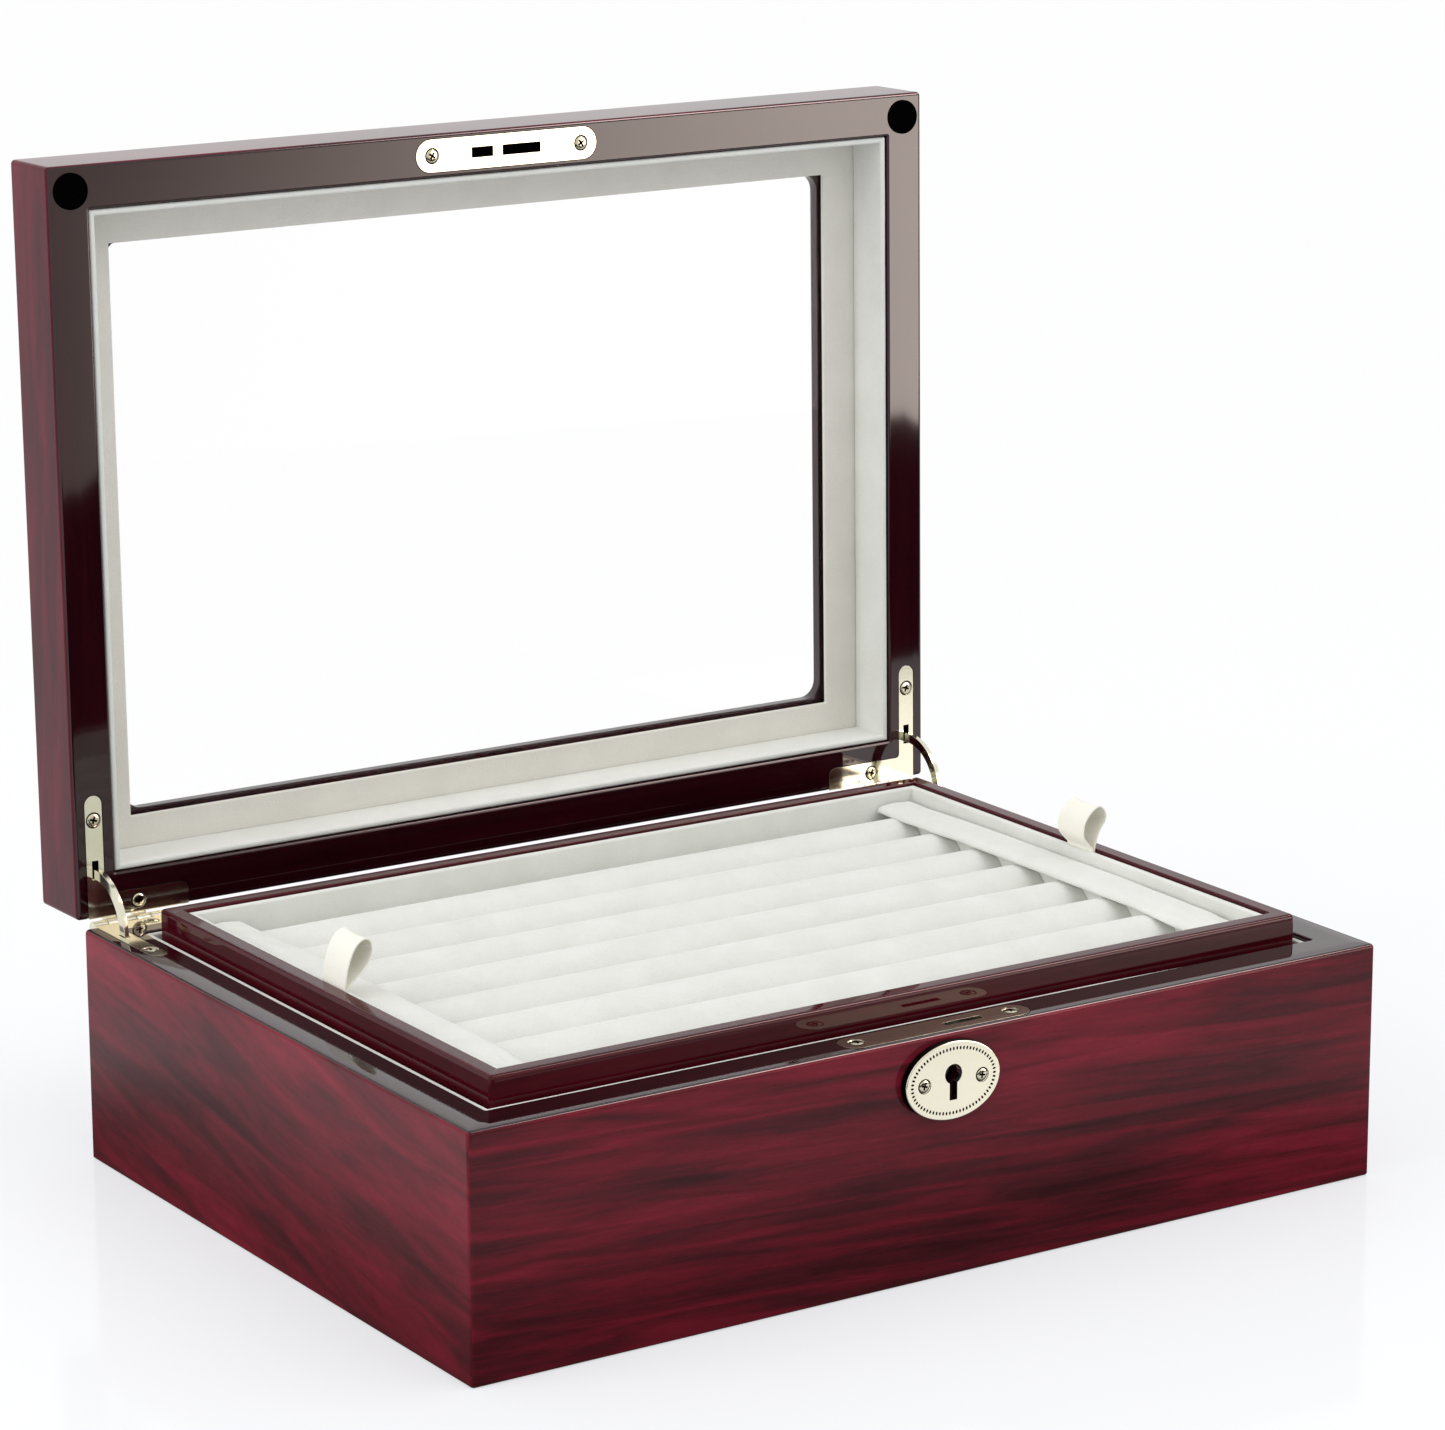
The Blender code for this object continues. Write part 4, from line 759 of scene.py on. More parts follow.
def settle(obj, turn=NO_TURN):
    """Replace an object and its modifiers by a plain mesh at the origin."""
    shown = obj.evaluated_get(bpy.context.evaluated_depsgraph_get())
    mesh = bpy.data.meshes.new_from_object(shown)
    mesh.transform(turn @ obj.matrix_world)
    mesh.name = obj.name
    obj.modifiers.clear()
    obj.data = mesh
    obj.matrix_world = NO_TURN
    return obj


def smooth(obj, angle=SMOOTH_ANGLE):
    """Shade the rounds smooth and keep the large faces flat."""
    obj.data.shade_smooth()
    obj.data.set_sharp_from_angle(angle=angle)
    weighted = obj.modifiers.new("weighted", "WEIGHTED_NORMAL")
    weighted.keep_sharp = True
    return settle(obj)


def paint(obj, *materials):
    obj.data.materials.clear()
    for material in materials:
        obj.data.materials.append(material)
    return obj


def hand_over(obj, body, *nodes):
    """Give a finished piece to its body, and hide the nodes that it stands for."""
    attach(obj, body)
    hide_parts(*nodes)
    low = [round(1000 * min(vert.co[axis] for vert in obj.data.vertices), 1) for axis in range(3)]
    high = [round(1000 * max(vert.co[axis] for vert in obj.data.vertices), 1) for axis in range(3)]
    print(obj.name, "on", body, "spans", low, "to", high, "mm,", len(obj.data.polygons), "faces")
    return obj


# %% [markdown]
# The lid stands open in the frame, a little past upright. Its pieces are easier to think about with the lid
# shut, so they are made shut and then turned about the hinge line. The same turn, backwards, tells where a
# node of the frame lies with the lid shut.

# %% The lid's turn
OPEN_ANGLE = math.radians(90.8)
hinge = next(joint for joint in frame["joints"] if joint["name"] == "lid_hinge")
AXIS_Y, AXIS_Z = hinge["pos_m"][1:]
to_axis = Matrix.Translation(Vector((0.0, AXIS_Y, AXIS_Z)))
OPENED = to_axis @ Matrix.Rotation(-OPEN_ANGLE, 4, "X") @ to_axis.inverted()
SHUT = OPENED.inverted()


def shut_box(node):
    """Lowest and highest corner of a lid node with the lid shut."""
    places = np.array([SHUT @ vert.co for vert in frame["nodes"][node].data.vertices])
    return Vector(places.min(axis=0)), Vector(places.max(axis=0))


LID_LOW = shut_box("lid_front_rail")[0].z
LID_HIGH = shut_box("lid_left_rail")[1].z
print("lid shut from", round(1000 * LID_LOW, 2), "to", round(1000 * LID_HIGH, 2), "mm")

# %% [markdown]
# The grain map gives every face a place on its board in metres, with u along the board. Faces that look up or
# down belong to the board whose outer side is nearer, which draws the mitre line at the corners. Each side
# has its own slope, start and breadth of the figure, because each was cut from another leaf of veneer.

# %% Grain map
BASE_FIGURES = {
    "front": (math.radians(-3.0), 0.37, 1.0),
    "back": (math.radians(2.0), 1.91, 1.3),
    "left": (math.radians(9.5), 2.83, 2.3),
    "right": (math.radians(-6.0), 4.17, 1.6),
    "end_lipping": (0.0, 5.31, 1.0),
    "side_lipping": (0.0, 6.47, 1.0),
}
LID_FIGURES = {
    "front": (math.radians(1.0), 1.13, 1.0),
    "back": (math.radians(2.0), 2.71, 1.3),
    "left": (math.radians(3.0), 3.59, 2.0),
    "right": (math.radians(-2.0), 4.93, 1.6),
    "end_lipping": (0.0, 6.01, 1.0),
    "side_lipping": (0.0, 7.23, 1.0),
}


def map_grain(obj, half_x, half_y, figures):
    mesh = obj.data
    layer = mesh.uv_layers.get("grain") or mesh.uv_layers.new(name="grain")
    for face in mesh.polygons:
        normal = face.normal
        if abs(normal.z) > max(abs(normal.x), abs(normal.y)):
            on_side = half_x - abs(face.center.x) < half_y - abs(face.center.y)
            along, across = (1, 0) if on_side else (0, 1)
            slope, start, breadth = figures["side_lipping" if on_side else "end_lipping"]
        elif abs(normal.x) > abs(normal.y):
            along, across = 1, 2
            slope, start, breadth = figures["left" if normal.x < 0 else "right"]
        else:
            along, across = 0, 2
            slope, start, breadth = figures["front" if normal.y < 0 else "back"]
        for corner in face.loop_indices:
            place = mesh.vertices[mesh.loops[corner].vertex_index].co
            u = place[along] * math.cos(slope) + place[across] * math.sin(slope)
            v = place[across] * math.cos(slope) - place[along] * math.sin(slope)
            layer.data[corner].uv = (u + start, v / breadth + start)


def choose_finish(obj, finish_of):
    """Give each face the material whose number a rule returns."""
    for face in obj.data.polygons:
        face.material_index = finish_of(face)


print("figures for", ", ".join(BASE_FIGURES))

# %% [markdown]
# The base is four boards, mitred and glued, then lacquered as one. Once lacquered, the joints are gone, so it
# is one piece here. It could be a box with bevelled edges, but rings of rounded rectangles are surer: each
# ring is one level of the section, from the foot, up the outside, over the rounded arris and the rim, and
# down the inside. The recesses for the hinge leaves, stays, lock and keyhole are then cut out.

# %% Base carcass sizes
base_low, base_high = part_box("base_left_board")
front_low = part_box("base_front_board")[0]
HALF_WIDTH = -base_low.x
HALF_DEPTH = -front_low.y
BASE_HEIGHT = base_high.z
BOARD = 0.0122
EDGE_ROUND = 0.0012
RIM_ROUND = 0.0007
FOOT_ROUND = 0.0004
BUFFED_WIDTH = 0.0050
BUFFED_DROP = 0.00026
BUFFED_STEPS = 4
INSIDE_CORNER = 0.0004
LEAF_THICK = 0.0013
SIDE_ARM_WIDTH = 0.0052
SIDE_ARM_LENGTH = 0.035
BACK_ARM_WIDTH = 0.0066
BACK_ARM_LENGTH = 0.031
BACK_ARM_CORNER = 0.0022
LEAF_INSIDE_CORNER = 0.0012
ARM_X = HALF_WIDTH - BOARD / 2
RIM_CENTRE_Y = -HALF_DEPTH + BOARD / 2
STAY_OUTER = 0.0164
STAY_NIB = 0.0124
STAY_HALF_SLOT = 0.0011
STAY_SLOT_SPARE = 0.0024
STAY_END_CLEARANCE = 0.0005
STAY_BASE_SWING = math.radians(53.4)
STAY_LID_SWING = math.radians(65.9)
LOCK_PLATE_THICK = 0.0012


def leaf_outline(side, grow):
    """L-shaped hinge leaf in plan, grown by a fit all round."""
    outer = ARM_X + SIDE_ARM_WIDTH / 2 + grow
    inner = ARM_X - SIDE_ARM_WIDTH / 2 - grow
    back = HALF_DEPTH + OVERRUN
    tip = HALF_DEPTH - SIDE_ARM_LENGTH - grow
    shelf = HALF_DEPTH - BACK_ARM_WIDTH - grow
    end = ARM_X + SIDE_ARM_WIDTH / 2 - BACK_ARM_LENGTH - grow
    half_arm = SIDE_ARM_WIDTH / 2 + grow
    points = [(outer, back), (end, back), (end, shelf), (inner, shelf), (inner, tip), (outer, tip)]
    radii = [0.0, 0.0, BACK_ARM_CORNER, LEAF_INSIDE_CORNER, half_arm, half_arm]
    return [Vector((side * point.x, point.y)) for point in fillet(points, radii)]


def plate_outline(node_box, grow):
    """Round-ended outline of a lock plate, grown by a fit all round."""
    low, high = node_box
    half_width = (high.y - low.y) / 2 + grow
    return rectangle(low.x - grow, high.x + grow, low.y - grow, high.y + grow, half_width)


def hinge_cutters(recess, mortise, swing):
    """Cutters for each leaf's recess and each stay's mortise, between two heights each."""
    back = AXIS_Y - STAY_NIB * math.cos(swing) + STAY_END_CLEARANCE
    front = AXIS_Y - STAY_OUTER - STAY_SLOT_SPARE
    cutters = []
    for side in (-1, 1):
        cutters.append(prism("leaf_recess", leaf_outline(side, FIT), *recess))
        low = (side * ARM_X - STAY_HALF_SLOT, front, mortise[0])
        high = (side * ARM_X + STAY_HALF_SLOT, back, mortise[1])
        cutters.append(box_solid("stay_mortise", low, high))
    return cutters


def within_arris(spot):
    """True for a place inside the rounded outer arris of the base or the lid."""
    reach = MERGE + EDGE_ROUND
    return abs(spot.x) < HALF_WIDTH - reach and abs(spot.y) < HALF_DEPTH - reach


base_size = (2 * HALF_WIDTH, 2 * HALF_DEPTH, BASE_HEIGHT)
print("base", " by ".join(str(round(1000 * size, 1)) for size in base_size), "mm")

# %% Base carcass
KEYHOLE_RADIUS = 0.0027
KEYHOLE_RISE = 0.0018
KEYHOLE_STEM = 0.0024
KEYHOLE_STEM_LENGTH = 0.007
KEYHOLE_STEPS = 24


def frame_ring(inset, radius, z):
    return ring(HALF_WIDTH - inset, HALF_DEPTH - inset, radius, z)


def keyhole_outline():
    """A round hole over a narrow stem, about the centre of the escutcheon."""
    half_stem = KEYHOLE_STEM / 2
    meet = math.asin(half_stem / KEYHOLE_RADIUS)
    start = -math.pi / 2 + meet
    sweep = 2 * math.pi - 2 * meet
    points = []
    for step in range(KEYHOLE_STEPS + 1):
        angle = start + sweep * step / KEYHOLE_STEPS
        points.append((KEYHOLE_RADIUS * math.cos(angle), KEYHOLE_RISE + KEYHOLE_RADIUS * math.sin(angle)))
    foot = KEYHOLE_RISE - KEYHOLE_STEM_LENGTH
    return points + [(-half_stem, foot), (half_stem, foot)]


def upright_prism(name, outline, centre_z, near, far):
    """A prism along Y over an outline drawn as (x, up)."""
    rings = [[Vector((point[0], y, centre_z + point[1])) for point in outline] for y in (near, far)]
    return loft(name, rings)


def rim_height(inset):
    """The rim's top falls a little towards its outer arris, where buffing has worn the lacquer thinner."""
    return BASE_HEIGHT - BUFFED_DROP * (1 - inset / BUFFED_WIDTH) ** 2


def carcass_rings():
    rings = [frame_ring(FOOT_ROUND, EDGE_ROUND - FOOT_ROUND, 0.0)]
    rings.append(frame_ring(0.0, EDGE_ROUND, FOOT_ROUND))
    shoulder = rim_height(EDGE_ROUND)
    for inset, z in quarter_round((0.0, shoulder - EDGE_ROUND), (EDGE_ROUND, shoulder), (0.0, shoulder)):
        rings.append(frame_ring(inset, EDGE_ROUND - inset, z))
    for step in range(1, BUFFED_STEPS + 1):
        inset = EDGE_ROUND + (BUFFED_WIDTH - EDGE_ROUND) * step / BUFFED_STEPS
        rings.append(frame_ring(inset, INSIDE_CORNER, rim_height(inset)))
    rim_start = (BOARD - RIM_ROUND, BASE_HEIGHT)
    rim_end = (BOARD, BASE_HEIGHT - RIM_ROUND)
    for inset, z in quarter_round(rim_start, rim_end, (BOARD, BASE_HEIGHT)):
        rings.append(frame_ring(inset, INSIDE_CORNER + BOARD - inset, z))
    rings.append(frame_ring(BOARD, INSIDE_CORNER, 0.0))
    return rings


def base_cutters():
    over = BASE_HEIGHT + OVERRUN
    case_low, case_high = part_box("lock_case")
    room = Vector((FIT, FIT, FIT))
    cutters = [box_solid("lock_mortise", case_low - room, Vector((case_high.x, case_high.y, over)) + room)]
    plate_floor = BASE_HEIGHT - LOCK_PLATE_THICK - FIT
    cutters.append(prism("plate_recess", plate_outline(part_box("lock_face_plate"), FIT), plate_floor, over))
    shield_low, shield_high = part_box("escutcheon")
    centre_z = (shield_low.z + shield_high.z) / 2
    front = -HALF_DEPTH - OVERRUN
    cutters.append(upright_prism("keyhole", keyhole_outline(), centre_z, front, RIM_CENTRE_Y))
    leaf_floor = BASE_HEIGHT - LEAF_THICK - FIT
    stay_floor = AXIS_Z - STAY_OUTER * math.sin(STAY_BASE_SWING) - STAY_END_CLEARANCE
    return cutters + hinge_cutters((leaf_floor, over), (stay_floor, over), STAY_BASE_SWING)


def make_base():
    base = loft("base_carcass", carcass_rings(), looped=True)
    paint(base, veneer, lipping)
    cut(base, base_cutters())
    map_grain(base, HALF_WIDTH, HALF_DEPTH, BASE_FIGURES)

    def finish_of(face):
        level = abs(face.normal.z) > math.cos(math.pi / 4)
        return 1 if within_arris(face.center) or level else 0

    choose_finish(base, finish_of)
    return smooth(base)


base = make_base()
hand_over(base, "base", "base_front_board", "base_back_board", "base_left_board", "base_right_board")

# %% [markdown]
# The lid is a glazed frame: deep rails with a thin lip on top that holds the glass. It is made shut, ring by
# ring round its section, cut for the strike plate, leaves and stays, and then opened.

# %% Lid carcass
LIP_THICK = 0.0036
WINDOW_SIDE_MARGIN = 0.0252
WINDOW_END_MARGIN = 0.0243
WINDOW_CORNER = 0.005
LIP_ROUND = 0.0006
LID_INSIDE_CORNER = 0.0002
STRIKE_POCKET_DEPTH = 0.0078
STRIKE_POCKET_LEFT = -0.01185
STRIKE_POCKET_RIGHT = 0.01125
STRIKE_POCKET_HALF = 0.00175


def window_ring(grow, z):
    half_x = HALF_WIDTH - WINDOW_SIDE_MARGIN + grow
    half_y = HALF_DEPTH - WINDOW_END_MARGIN + grow
    return ring(half_x, half_y, WINDOW_CORNER + grow, z)


def lid_rings():
    roof = LID_HIGH - LIP_THICK
    inner = BOARD - RIM_ROUND
    rings = []
    for inset, z in quarter_round((EDGE_ROUND, LID_LOW), (0.0, LID_LOW + EDGE_ROUND), (0.0, LID_LOW)):
        rings.append(frame_ring(inset, EDGE_ROUND - inset, z))
    for inset, z in quarter_round((0.0, LID_HIGH - EDGE_ROUND), (EDGE_ROUND, LID_HIGH), (0.0, LID_HIGH)):
        rings.append(frame_ring(inset, EDGE_ROUND - inset, z))
    for grow, z in quarter_round((LIP_ROUND, LID_HIGH), (0.0, LID_HIGH - LIP_ROUND), (0.0, LID_HIGH)):
        rings.append(window_ring(grow, z))
    rings.append(window_ring(0.0, roof))
    rings.append(frame_ring(BOARD, LID_INSIDE_CORNER, roof))
    for inset, z in quarter_round((BOARD, LID_LOW + RIM_ROUND), (inner, LID_LOW), (BOARD, LID_LOW)):
        rings.append(frame_ring(inset, LID_INSIDE_CORNER + BOARD - inset, z))
    return rings


def lid_cutters():
    under = LID_LOW - OVERRUN
    plate_roof = LID_LOW + LOCK_PLATE_THICK + FIT
    cutters = [prism("strike_recess", plate_outline(shut_box("strike_plate"), FIT), under, plate_roof)]
    pocket_low = (STRIKE_POCKET_LEFT, RIM_CENTRE_Y - STRIKE_POCKET_HALF, under)
    pocket_high = (STRIKE_POCKET_RIGHT, RIM_CENTRE_Y + STRIKE_POCKET_HALF, LID_LOW + STRIKE_POCKET_DEPTH)
    cutters.append(box_solid("strike_pocket", pocket_low, pocket_high))
    leaf_roof = LID_LOW + LEAF_THICK + FIT
    stay_roof = AXIS_Z + STAY_OUTER * math.sin(STAY_LID_SWING) + STAY_END_CLEARANCE
    return cutters + hinge_cutters((under, leaf_roof), (under, stay_roof), STAY_LID_SWING)


def in_pocket(spot):
    """True for a place on the walls or the roof of the strike plate's pocket."""
    in_x = STRIKE_POCKET_LEFT - FIT < spot.x < STRIKE_POCKET_RIGHT + FIT
    in_y = abs(spot.y - RIM_CENTRE_Y) < STRIKE_POCKET_HALF + FIT
    return in_x and in_y and spot.z > LID_LOW + LOCK_PLATE_THICK


def make_lid():
    lid = loft("lid_carcass", lid_rings(), looped=True)
    paint(lid, lid_veneer, lipping, pocket_stain_and_shade)
    cut(lid, lid_cutters())
    map_grain(lid, HALF_WIDTH, HALF_DEPTH, LID_FIGURES)

    def finish_of(face):
        # The pocket's walls and roof take the near-black stain, which also paints their shade
        if in_pocket(face.center):
            return 2
        level = math.cos(math.pi / 4)
        inside = within_arris(face.center) and face.normal.z <= level
        return 1 if inside or face.normal.z < -level else 0

    choose_finish(lid, finish_of)
    smooth(lid)
    return settle(lid, OPENED)


lid = make_lid()
hand_over(lid, "lid", "lid_front_rail", "lid_back_rail", "lid_left_rail", "lid_right_rail")

# %% [markdown]
# The tray is a lighter frame that stands 7 mm above the rim. Its outer arrises are rounded, and the inner
# ones are left nearly square under the velvet.

# %% Tray frame
tray_low, tray_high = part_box("tray_left_wall")
TRAY_HALF_X = -tray_low.x
TRAY_HALF_Y = -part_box("tray_front_wall")[0].y
TRAY_LOW = tray_low.z
TRAY_TOP = tray_high.z
TRAY_WALL = 0.005
TRAY_ROUND = 0.0012
TRAY_INNER_ROUND = 0.0004
TRAY_FOOT_ROUND = 0.0003


def tray_ring(inset, radius, z):
    return ring(TRAY_HALF_X - inset, TRAY_HALF_Y - inset, radius, z)


def make_tray():
    rings = [tray_ring(TRAY_FOOT_ROUND, TRAY_ROUND - TRAY_FOOT_ROUND, TRAY_LOW)]
    rings.append(tray_ring(0.0, TRAY_ROUND, TRAY_LOW + TRAY_FOOT_ROUND))
    for inset, z in quarter_round((0.0, TRAY_TOP - TRAY_ROUND), (TRAY_ROUND, TRAY_TOP), (0.0, TRAY_TOP)):
        rings.append(tray_ring(inset, TRAY_ROUND - inset, z))
    inner = TRAY_WALL - TRAY_INNER_ROUND
    rim_end = (TRAY_WALL, TRAY_TOP - TRAY_INNER_ROUND)
    for inset, z in quarter_round((inner, TRAY_TOP), rim_end, (TRAY_WALL, TRAY_TOP)):
        rings.append(tray_ring(inset, LID_INSIDE_CORNER + TRAY_WALL - inset, z))
    rings.append(tray_ring(TRAY_WALL, LID_INSIDE_CORNER, TRAY_LOW))
    tray = loft("tray_frame", rings, looped=True)
    paint(tray, tray_wood)
    map_grain(tray, TRAY_HALF_X, TRAY_HALF_Y, LID_FIGURES)
    return smooth(tray)


tray = make_tray()
hand_over(tray, "tray", "tray_front_wall", "tray_back_wall", "tray_left_wall", "tray_right_wall")

# %% [markdown]
# The linings are card strips wrapped in velvet and pressed in against the wood. Wrapped card has a soft
# round where the cloth goes over its edge, and never lies perfectly straight. They are rings again, with
# extra points along each side, and a gentle noise moves those points a tenth of a millimetre.

# %% Linings of the tray and the lid
WRAP_ROUND = 0.0007
WRAP_CORNER = 0.0002
LINING_SIDE_STEPS = 36
LINING_CORNER_STEPS = 2
LINING_WAVE = 0.03
LINING_WAVE_DEPTH = 0.00010
TRAY_LINING_THICK = 0.002
LID_LINING_THICK = 0.0017
TAIL_BULGE = 0.0005
TAIL_BULGE_HALF = 0.0075
TAIL_BULGE_DROP = 0.010


def long_ring(half_x, half_y, z):
    return ring(half_x, half_y, WRAP_CORNER, z, LINING_SIDE_STEPS, LINING_CORNER_STEPS)


def wrapped_strip(name, half_x, half_y, thick, edge, far, sign):
    """A frame of wrapped strips: its soft edge at one height, its other end at another.

    sign is 1 where the soft edge looks up and -1 where it looks down.
    """
    round_start = edge - sign * WRAP_ROUND
    rings = [long_ring(half_x, half_y, far)]
    for inset, z in quarter_round((0.0, round_start), (WRAP_ROUND, edge), (0.0, edge)):
        rings.append(long_ring(half_x - inset, half_y - inset, z))
    inner_start = thick - WRAP_ROUND
    for inset, z in quarter_round((inner_start, edge), (thick, round_start), (thick, edge)):
        rings.append(long_ring(half_x - inset, half_y - inset, z))
    rings.append(long_ring(half_x - thick, half_y - thick, far))
    return loft(name, rings, looped=True)


def hand_laid(obj, depth=LINING_WAVE_DEPTH, wave=LINING_WAVE):
    """Move points a little inwards and outwards, as cloth glued by hand lies."""
    for vert in obj.data.vertices:
        lift = noise.noise(vert.co / wave) * depth
        vert.co += Vector((-math.copysign(lift, vert.co.x), -math.copysign(lift, vert.co.y), 0.0))
    return obj


def bulge_over_tails(obj, inner_x):
    """Push the lining out over the ribbon tails that are glued behind it."""
    for vert in obj.data.vertices:
        if abs(abs(vert.co.x) - inner_x) > 2 * LINING_WAVE_DEPTH:
            continue
        along = max(0.0, 1 - (vert.co.y / TAIL_BULGE_HALF) ** 4)
        down = max(0.0, 1 - (TRAY_TOP - vert.co.z) / TAIL_BULGE_DROP)
        vert.co.x -= math.copysign(TAIL_BULGE * along * down, vert.co.x)
    return obj


def make_tray_lining():
    low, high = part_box("tray_lining")
    lining = wrapped_strip("tray_velvet_lining", high.x, high.y, TRAY_LINING_THICK, high.z, low.z, 1)
    hand_laid(lining)
    bulge_over_tails(lining, high.x - TRAY_LINING_THICK)
    paint(lining, ivory_velvet)
    return hand_over(smooth(lining), "tray", "tray_lining")


def make_lid_lining():
    low, high = shut_box("lid_lining")
    lining = wrapped_strip("lid_velvet_lining", high.x, high.y, LID_LINING_THICK, low.z, high.z, -1)
    hand_laid(lining)
    paint(lining, ivory_velvet)
    smooth(lining)
    return hand_over(settle(lining, OPENED), "lid", "lid_lining")


make_tray_lining()
make_lid_lining()

# %% [markdown]
# The frame round the glass is one sheet of card with the window cut out, covered in the same velvet, whose
# edge is turned over the window. It is given a darker, warmer copy of the strips' velvet, painted shade
# because it faces away from the light. The panel at the foot of the base and the tray's floor are plain
# plywood and keep their CAD shape.

# %% Window frame, ledge lining and plywood
FRAME_ROUND = 0.0006
FRAME_FOOT_DROP = 0.0011
LEDGE_WIDTH = 0.006
BASE_LINING_THICK = 0.0015
LEDGE_GAP = 0.0003
LINING_RISE = 0.0008
LINING_LEVEL_X = 0.06
LINING_SUNK_X = 0.14


def make_window_frame():
    low, high = shut_box("lid_window_frame")
    half_x = HALF_WIDTH - WINDOW_SIDE_MARGIN
    half_y = HALF_DEPTH - WINDOW_END_MARGIN
    rings = [long_ring(high.x, high.y, high.z), long_ring(high.x, high.y, low.z)]
    near = quarter_round((FRAME_ROUND, low.z), (0.0, low.z + FRAME_ROUND), (0.0, low.z))
    far = quarter_round((0.0, high.z - FRAME_ROUND), (FRAME_ROUND, high.z), (0.0, high.z))
    for grow, z in near + far:
        rings.append(long_ring(half_x + grow, half_y + grow, z))
    # Its side at the hinge was glued a little further out than the others
    for points in rings[2:]:
        for point in points:
            point.y += FRAME_FOOT_DROP if point.y > 0 else 0.0
    window = loft("lid_velvet_window_frame", rings, looped=True)
    paint(window, shaded_velvet)
    smooth(window)
    return hand_over(settle(window, OPENED), "lid", "lid_window_frame")


def make_base_lining():
    low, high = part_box("base_lining")
    ledge = TRAY_LOW - LEDGE_GAP
    room_x, room_y = high.x, high.y
    rings = [long_ring(room_x, room_y, low.z)]
    for inset, z in quarter_round((0.0, high.z - WRAP_ROUND), (WRAP_ROUND, high.z), (0.0, high.z)):
        rings.append(long_ring(room_x - inset, room_y - inset, z))
    thick = BASE_LINING_THICK
    inner_start = (thick - WRAP_ROUND, high.z)
    for inset, z in quarter_round(inner_start, (thick, high.z - WRAP_ROUND), (thick, high.z)):
        rings.append(long_ring(room_x - inset, room_y - inset, z))
    rings.append(long_ring(room_x - thick, room_y - thick, ledge))
    reach = LEDGE_WIDTH
    for inset, z in quarter_round((reach - WRAP_ROUND, ledge), (reach, ledge - WRAP_ROUND), (reach, ledge)):
        rings.append(long_ring(room_x - inset, room_y - inset, z))
    rings.append(long_ring(room_x - reach, room_y - reach, low.z))
    lining = loft("base_velvet_lining", rings, looped=True)
    # The strips stand a little proud, and sink towards their right end
    for vert in lining.data.vertices:
        if vert.co.z > high.z - WRAP_ROUND - MERGE:
            share = min(1.0, max(0.0, (LINING_SUNK_X - vert.co.x) / (LINING_SUNK_X - LINING_LEVEL_X)))
            vert.co.z += LINING_RISE * share
    paint(lining, ivory_velvet)
    return hand_over(smooth(lining), "base", "base_lining")


make_window_frame()
make_base_lining()
for node in ("base_bottom_panel", "tray_floor"):
    for material_slot in frame["nodes"][node].material_slots:
        material_slot.material = birch
print("plywood on base_bottom_panel and tray_floor")

# %% [markdown]
# The cushions are foam in a velvet sleeve. They could be left as turned shapes, but cloth that holds foam is
# tight: it rounds out, and where two rolls meet it goes flat. So each cushion is blown up a little by a cloth
# simulation with air pressure and no gravity. How far a point may move is capped, and afterwards no point may
# pass the plane where a roll meets its neighbour.

# %% Cloth pass
CLOTH_FRAMES = 20
CLOTH_PRESSURE = 4.0
CLOTH_QUALITY = 4


def coordinates(obj):
    places = np.zeros(len(obj.data.vertices) * 3)
    obj.data.vertices.foreach_get("co", places)
    return places.reshape(-1, 3)


def set_coordinates(obj, places):
    obj.data.vertices.foreach_set("co", places.ravel())
    obj.data.update()


def blow_up(obj, cap):
    """Swell a closed cushion by air pressure; no point moves further than the cap."""
    start = coordinates(obj)
    cloth = obj.modifiers.new("cloth", "CLOTH")
    cloth.settings.use_pressure = True
    cloth.settings.uniform_pressure_force = CLOTH_PRESSURE
    cloth.settings.effector_weights.gravity = 0.0
    cloth.settings.quality = CLOTH_QUALITY
    scene = bpy.context.scene
    for moment in range(1, CLOTH_FRAMES + 1):
        scene.frame_set(moment)
    settle(obj)
    shift = coordinates(obj) - start
    length = np.linalg.norm(shift, axis=1, keepdims=True)
    print(obj.name, "swelled by up to", round(1000 * float(length.max()), 2), "mm before the cap")
    set_coordinates(obj, start + shift * np.minimum(1.0, cap / np.maximum(length, MERGE)))
    scene.frame_set(1)
    return obj


def soften(obj):
    """One level of subdivision, shaded smooth all over."""
    obj.data.shade_smooth()
    rounder = obj.modifiers.new("soft", "SUBSURF")
    rounder.levels = 1
    rounder.render_levels = 1
    return settle(obj)


print("cloth pass:", str(CLOTH_FRAMES) + " frames a piece")

# %% [markdown]
# Eight rolls lie side by side, and cufflinks and rings are held in the gaps. What repeats is a job for
# Geometry Nodes: one roll is made by hand, and a small tree sets it out along the tray, gives each copy a
# turn of its own about its axis and makes some a little thinner, as hand-rolled foam is. The seed is fixed,
# so that it comes out the same each time.

# %% Tree that sets pieces out in a row
def new_tree(name, inputs):
    """An empty geometry tree, the sockets of its named inputs, and its output node."""
    tree = bpy.data.node_groups.new(name, "GeometryNodeTree")
    tree.interface.new_socket(name="Geometry", in_out="OUTPUT", socket_type="NodeSocketGeometry")
    for label, kind in (("Geometry", "Geometry"), *inputs):
        tree.interface.new_socket(name=label, in_out="INPUT", socket_type="NodeSocket" + kind)
    return tree, add_node(tree, "NodeGroupInput").outputs, add_node(tree, "NodeGroupOutput")


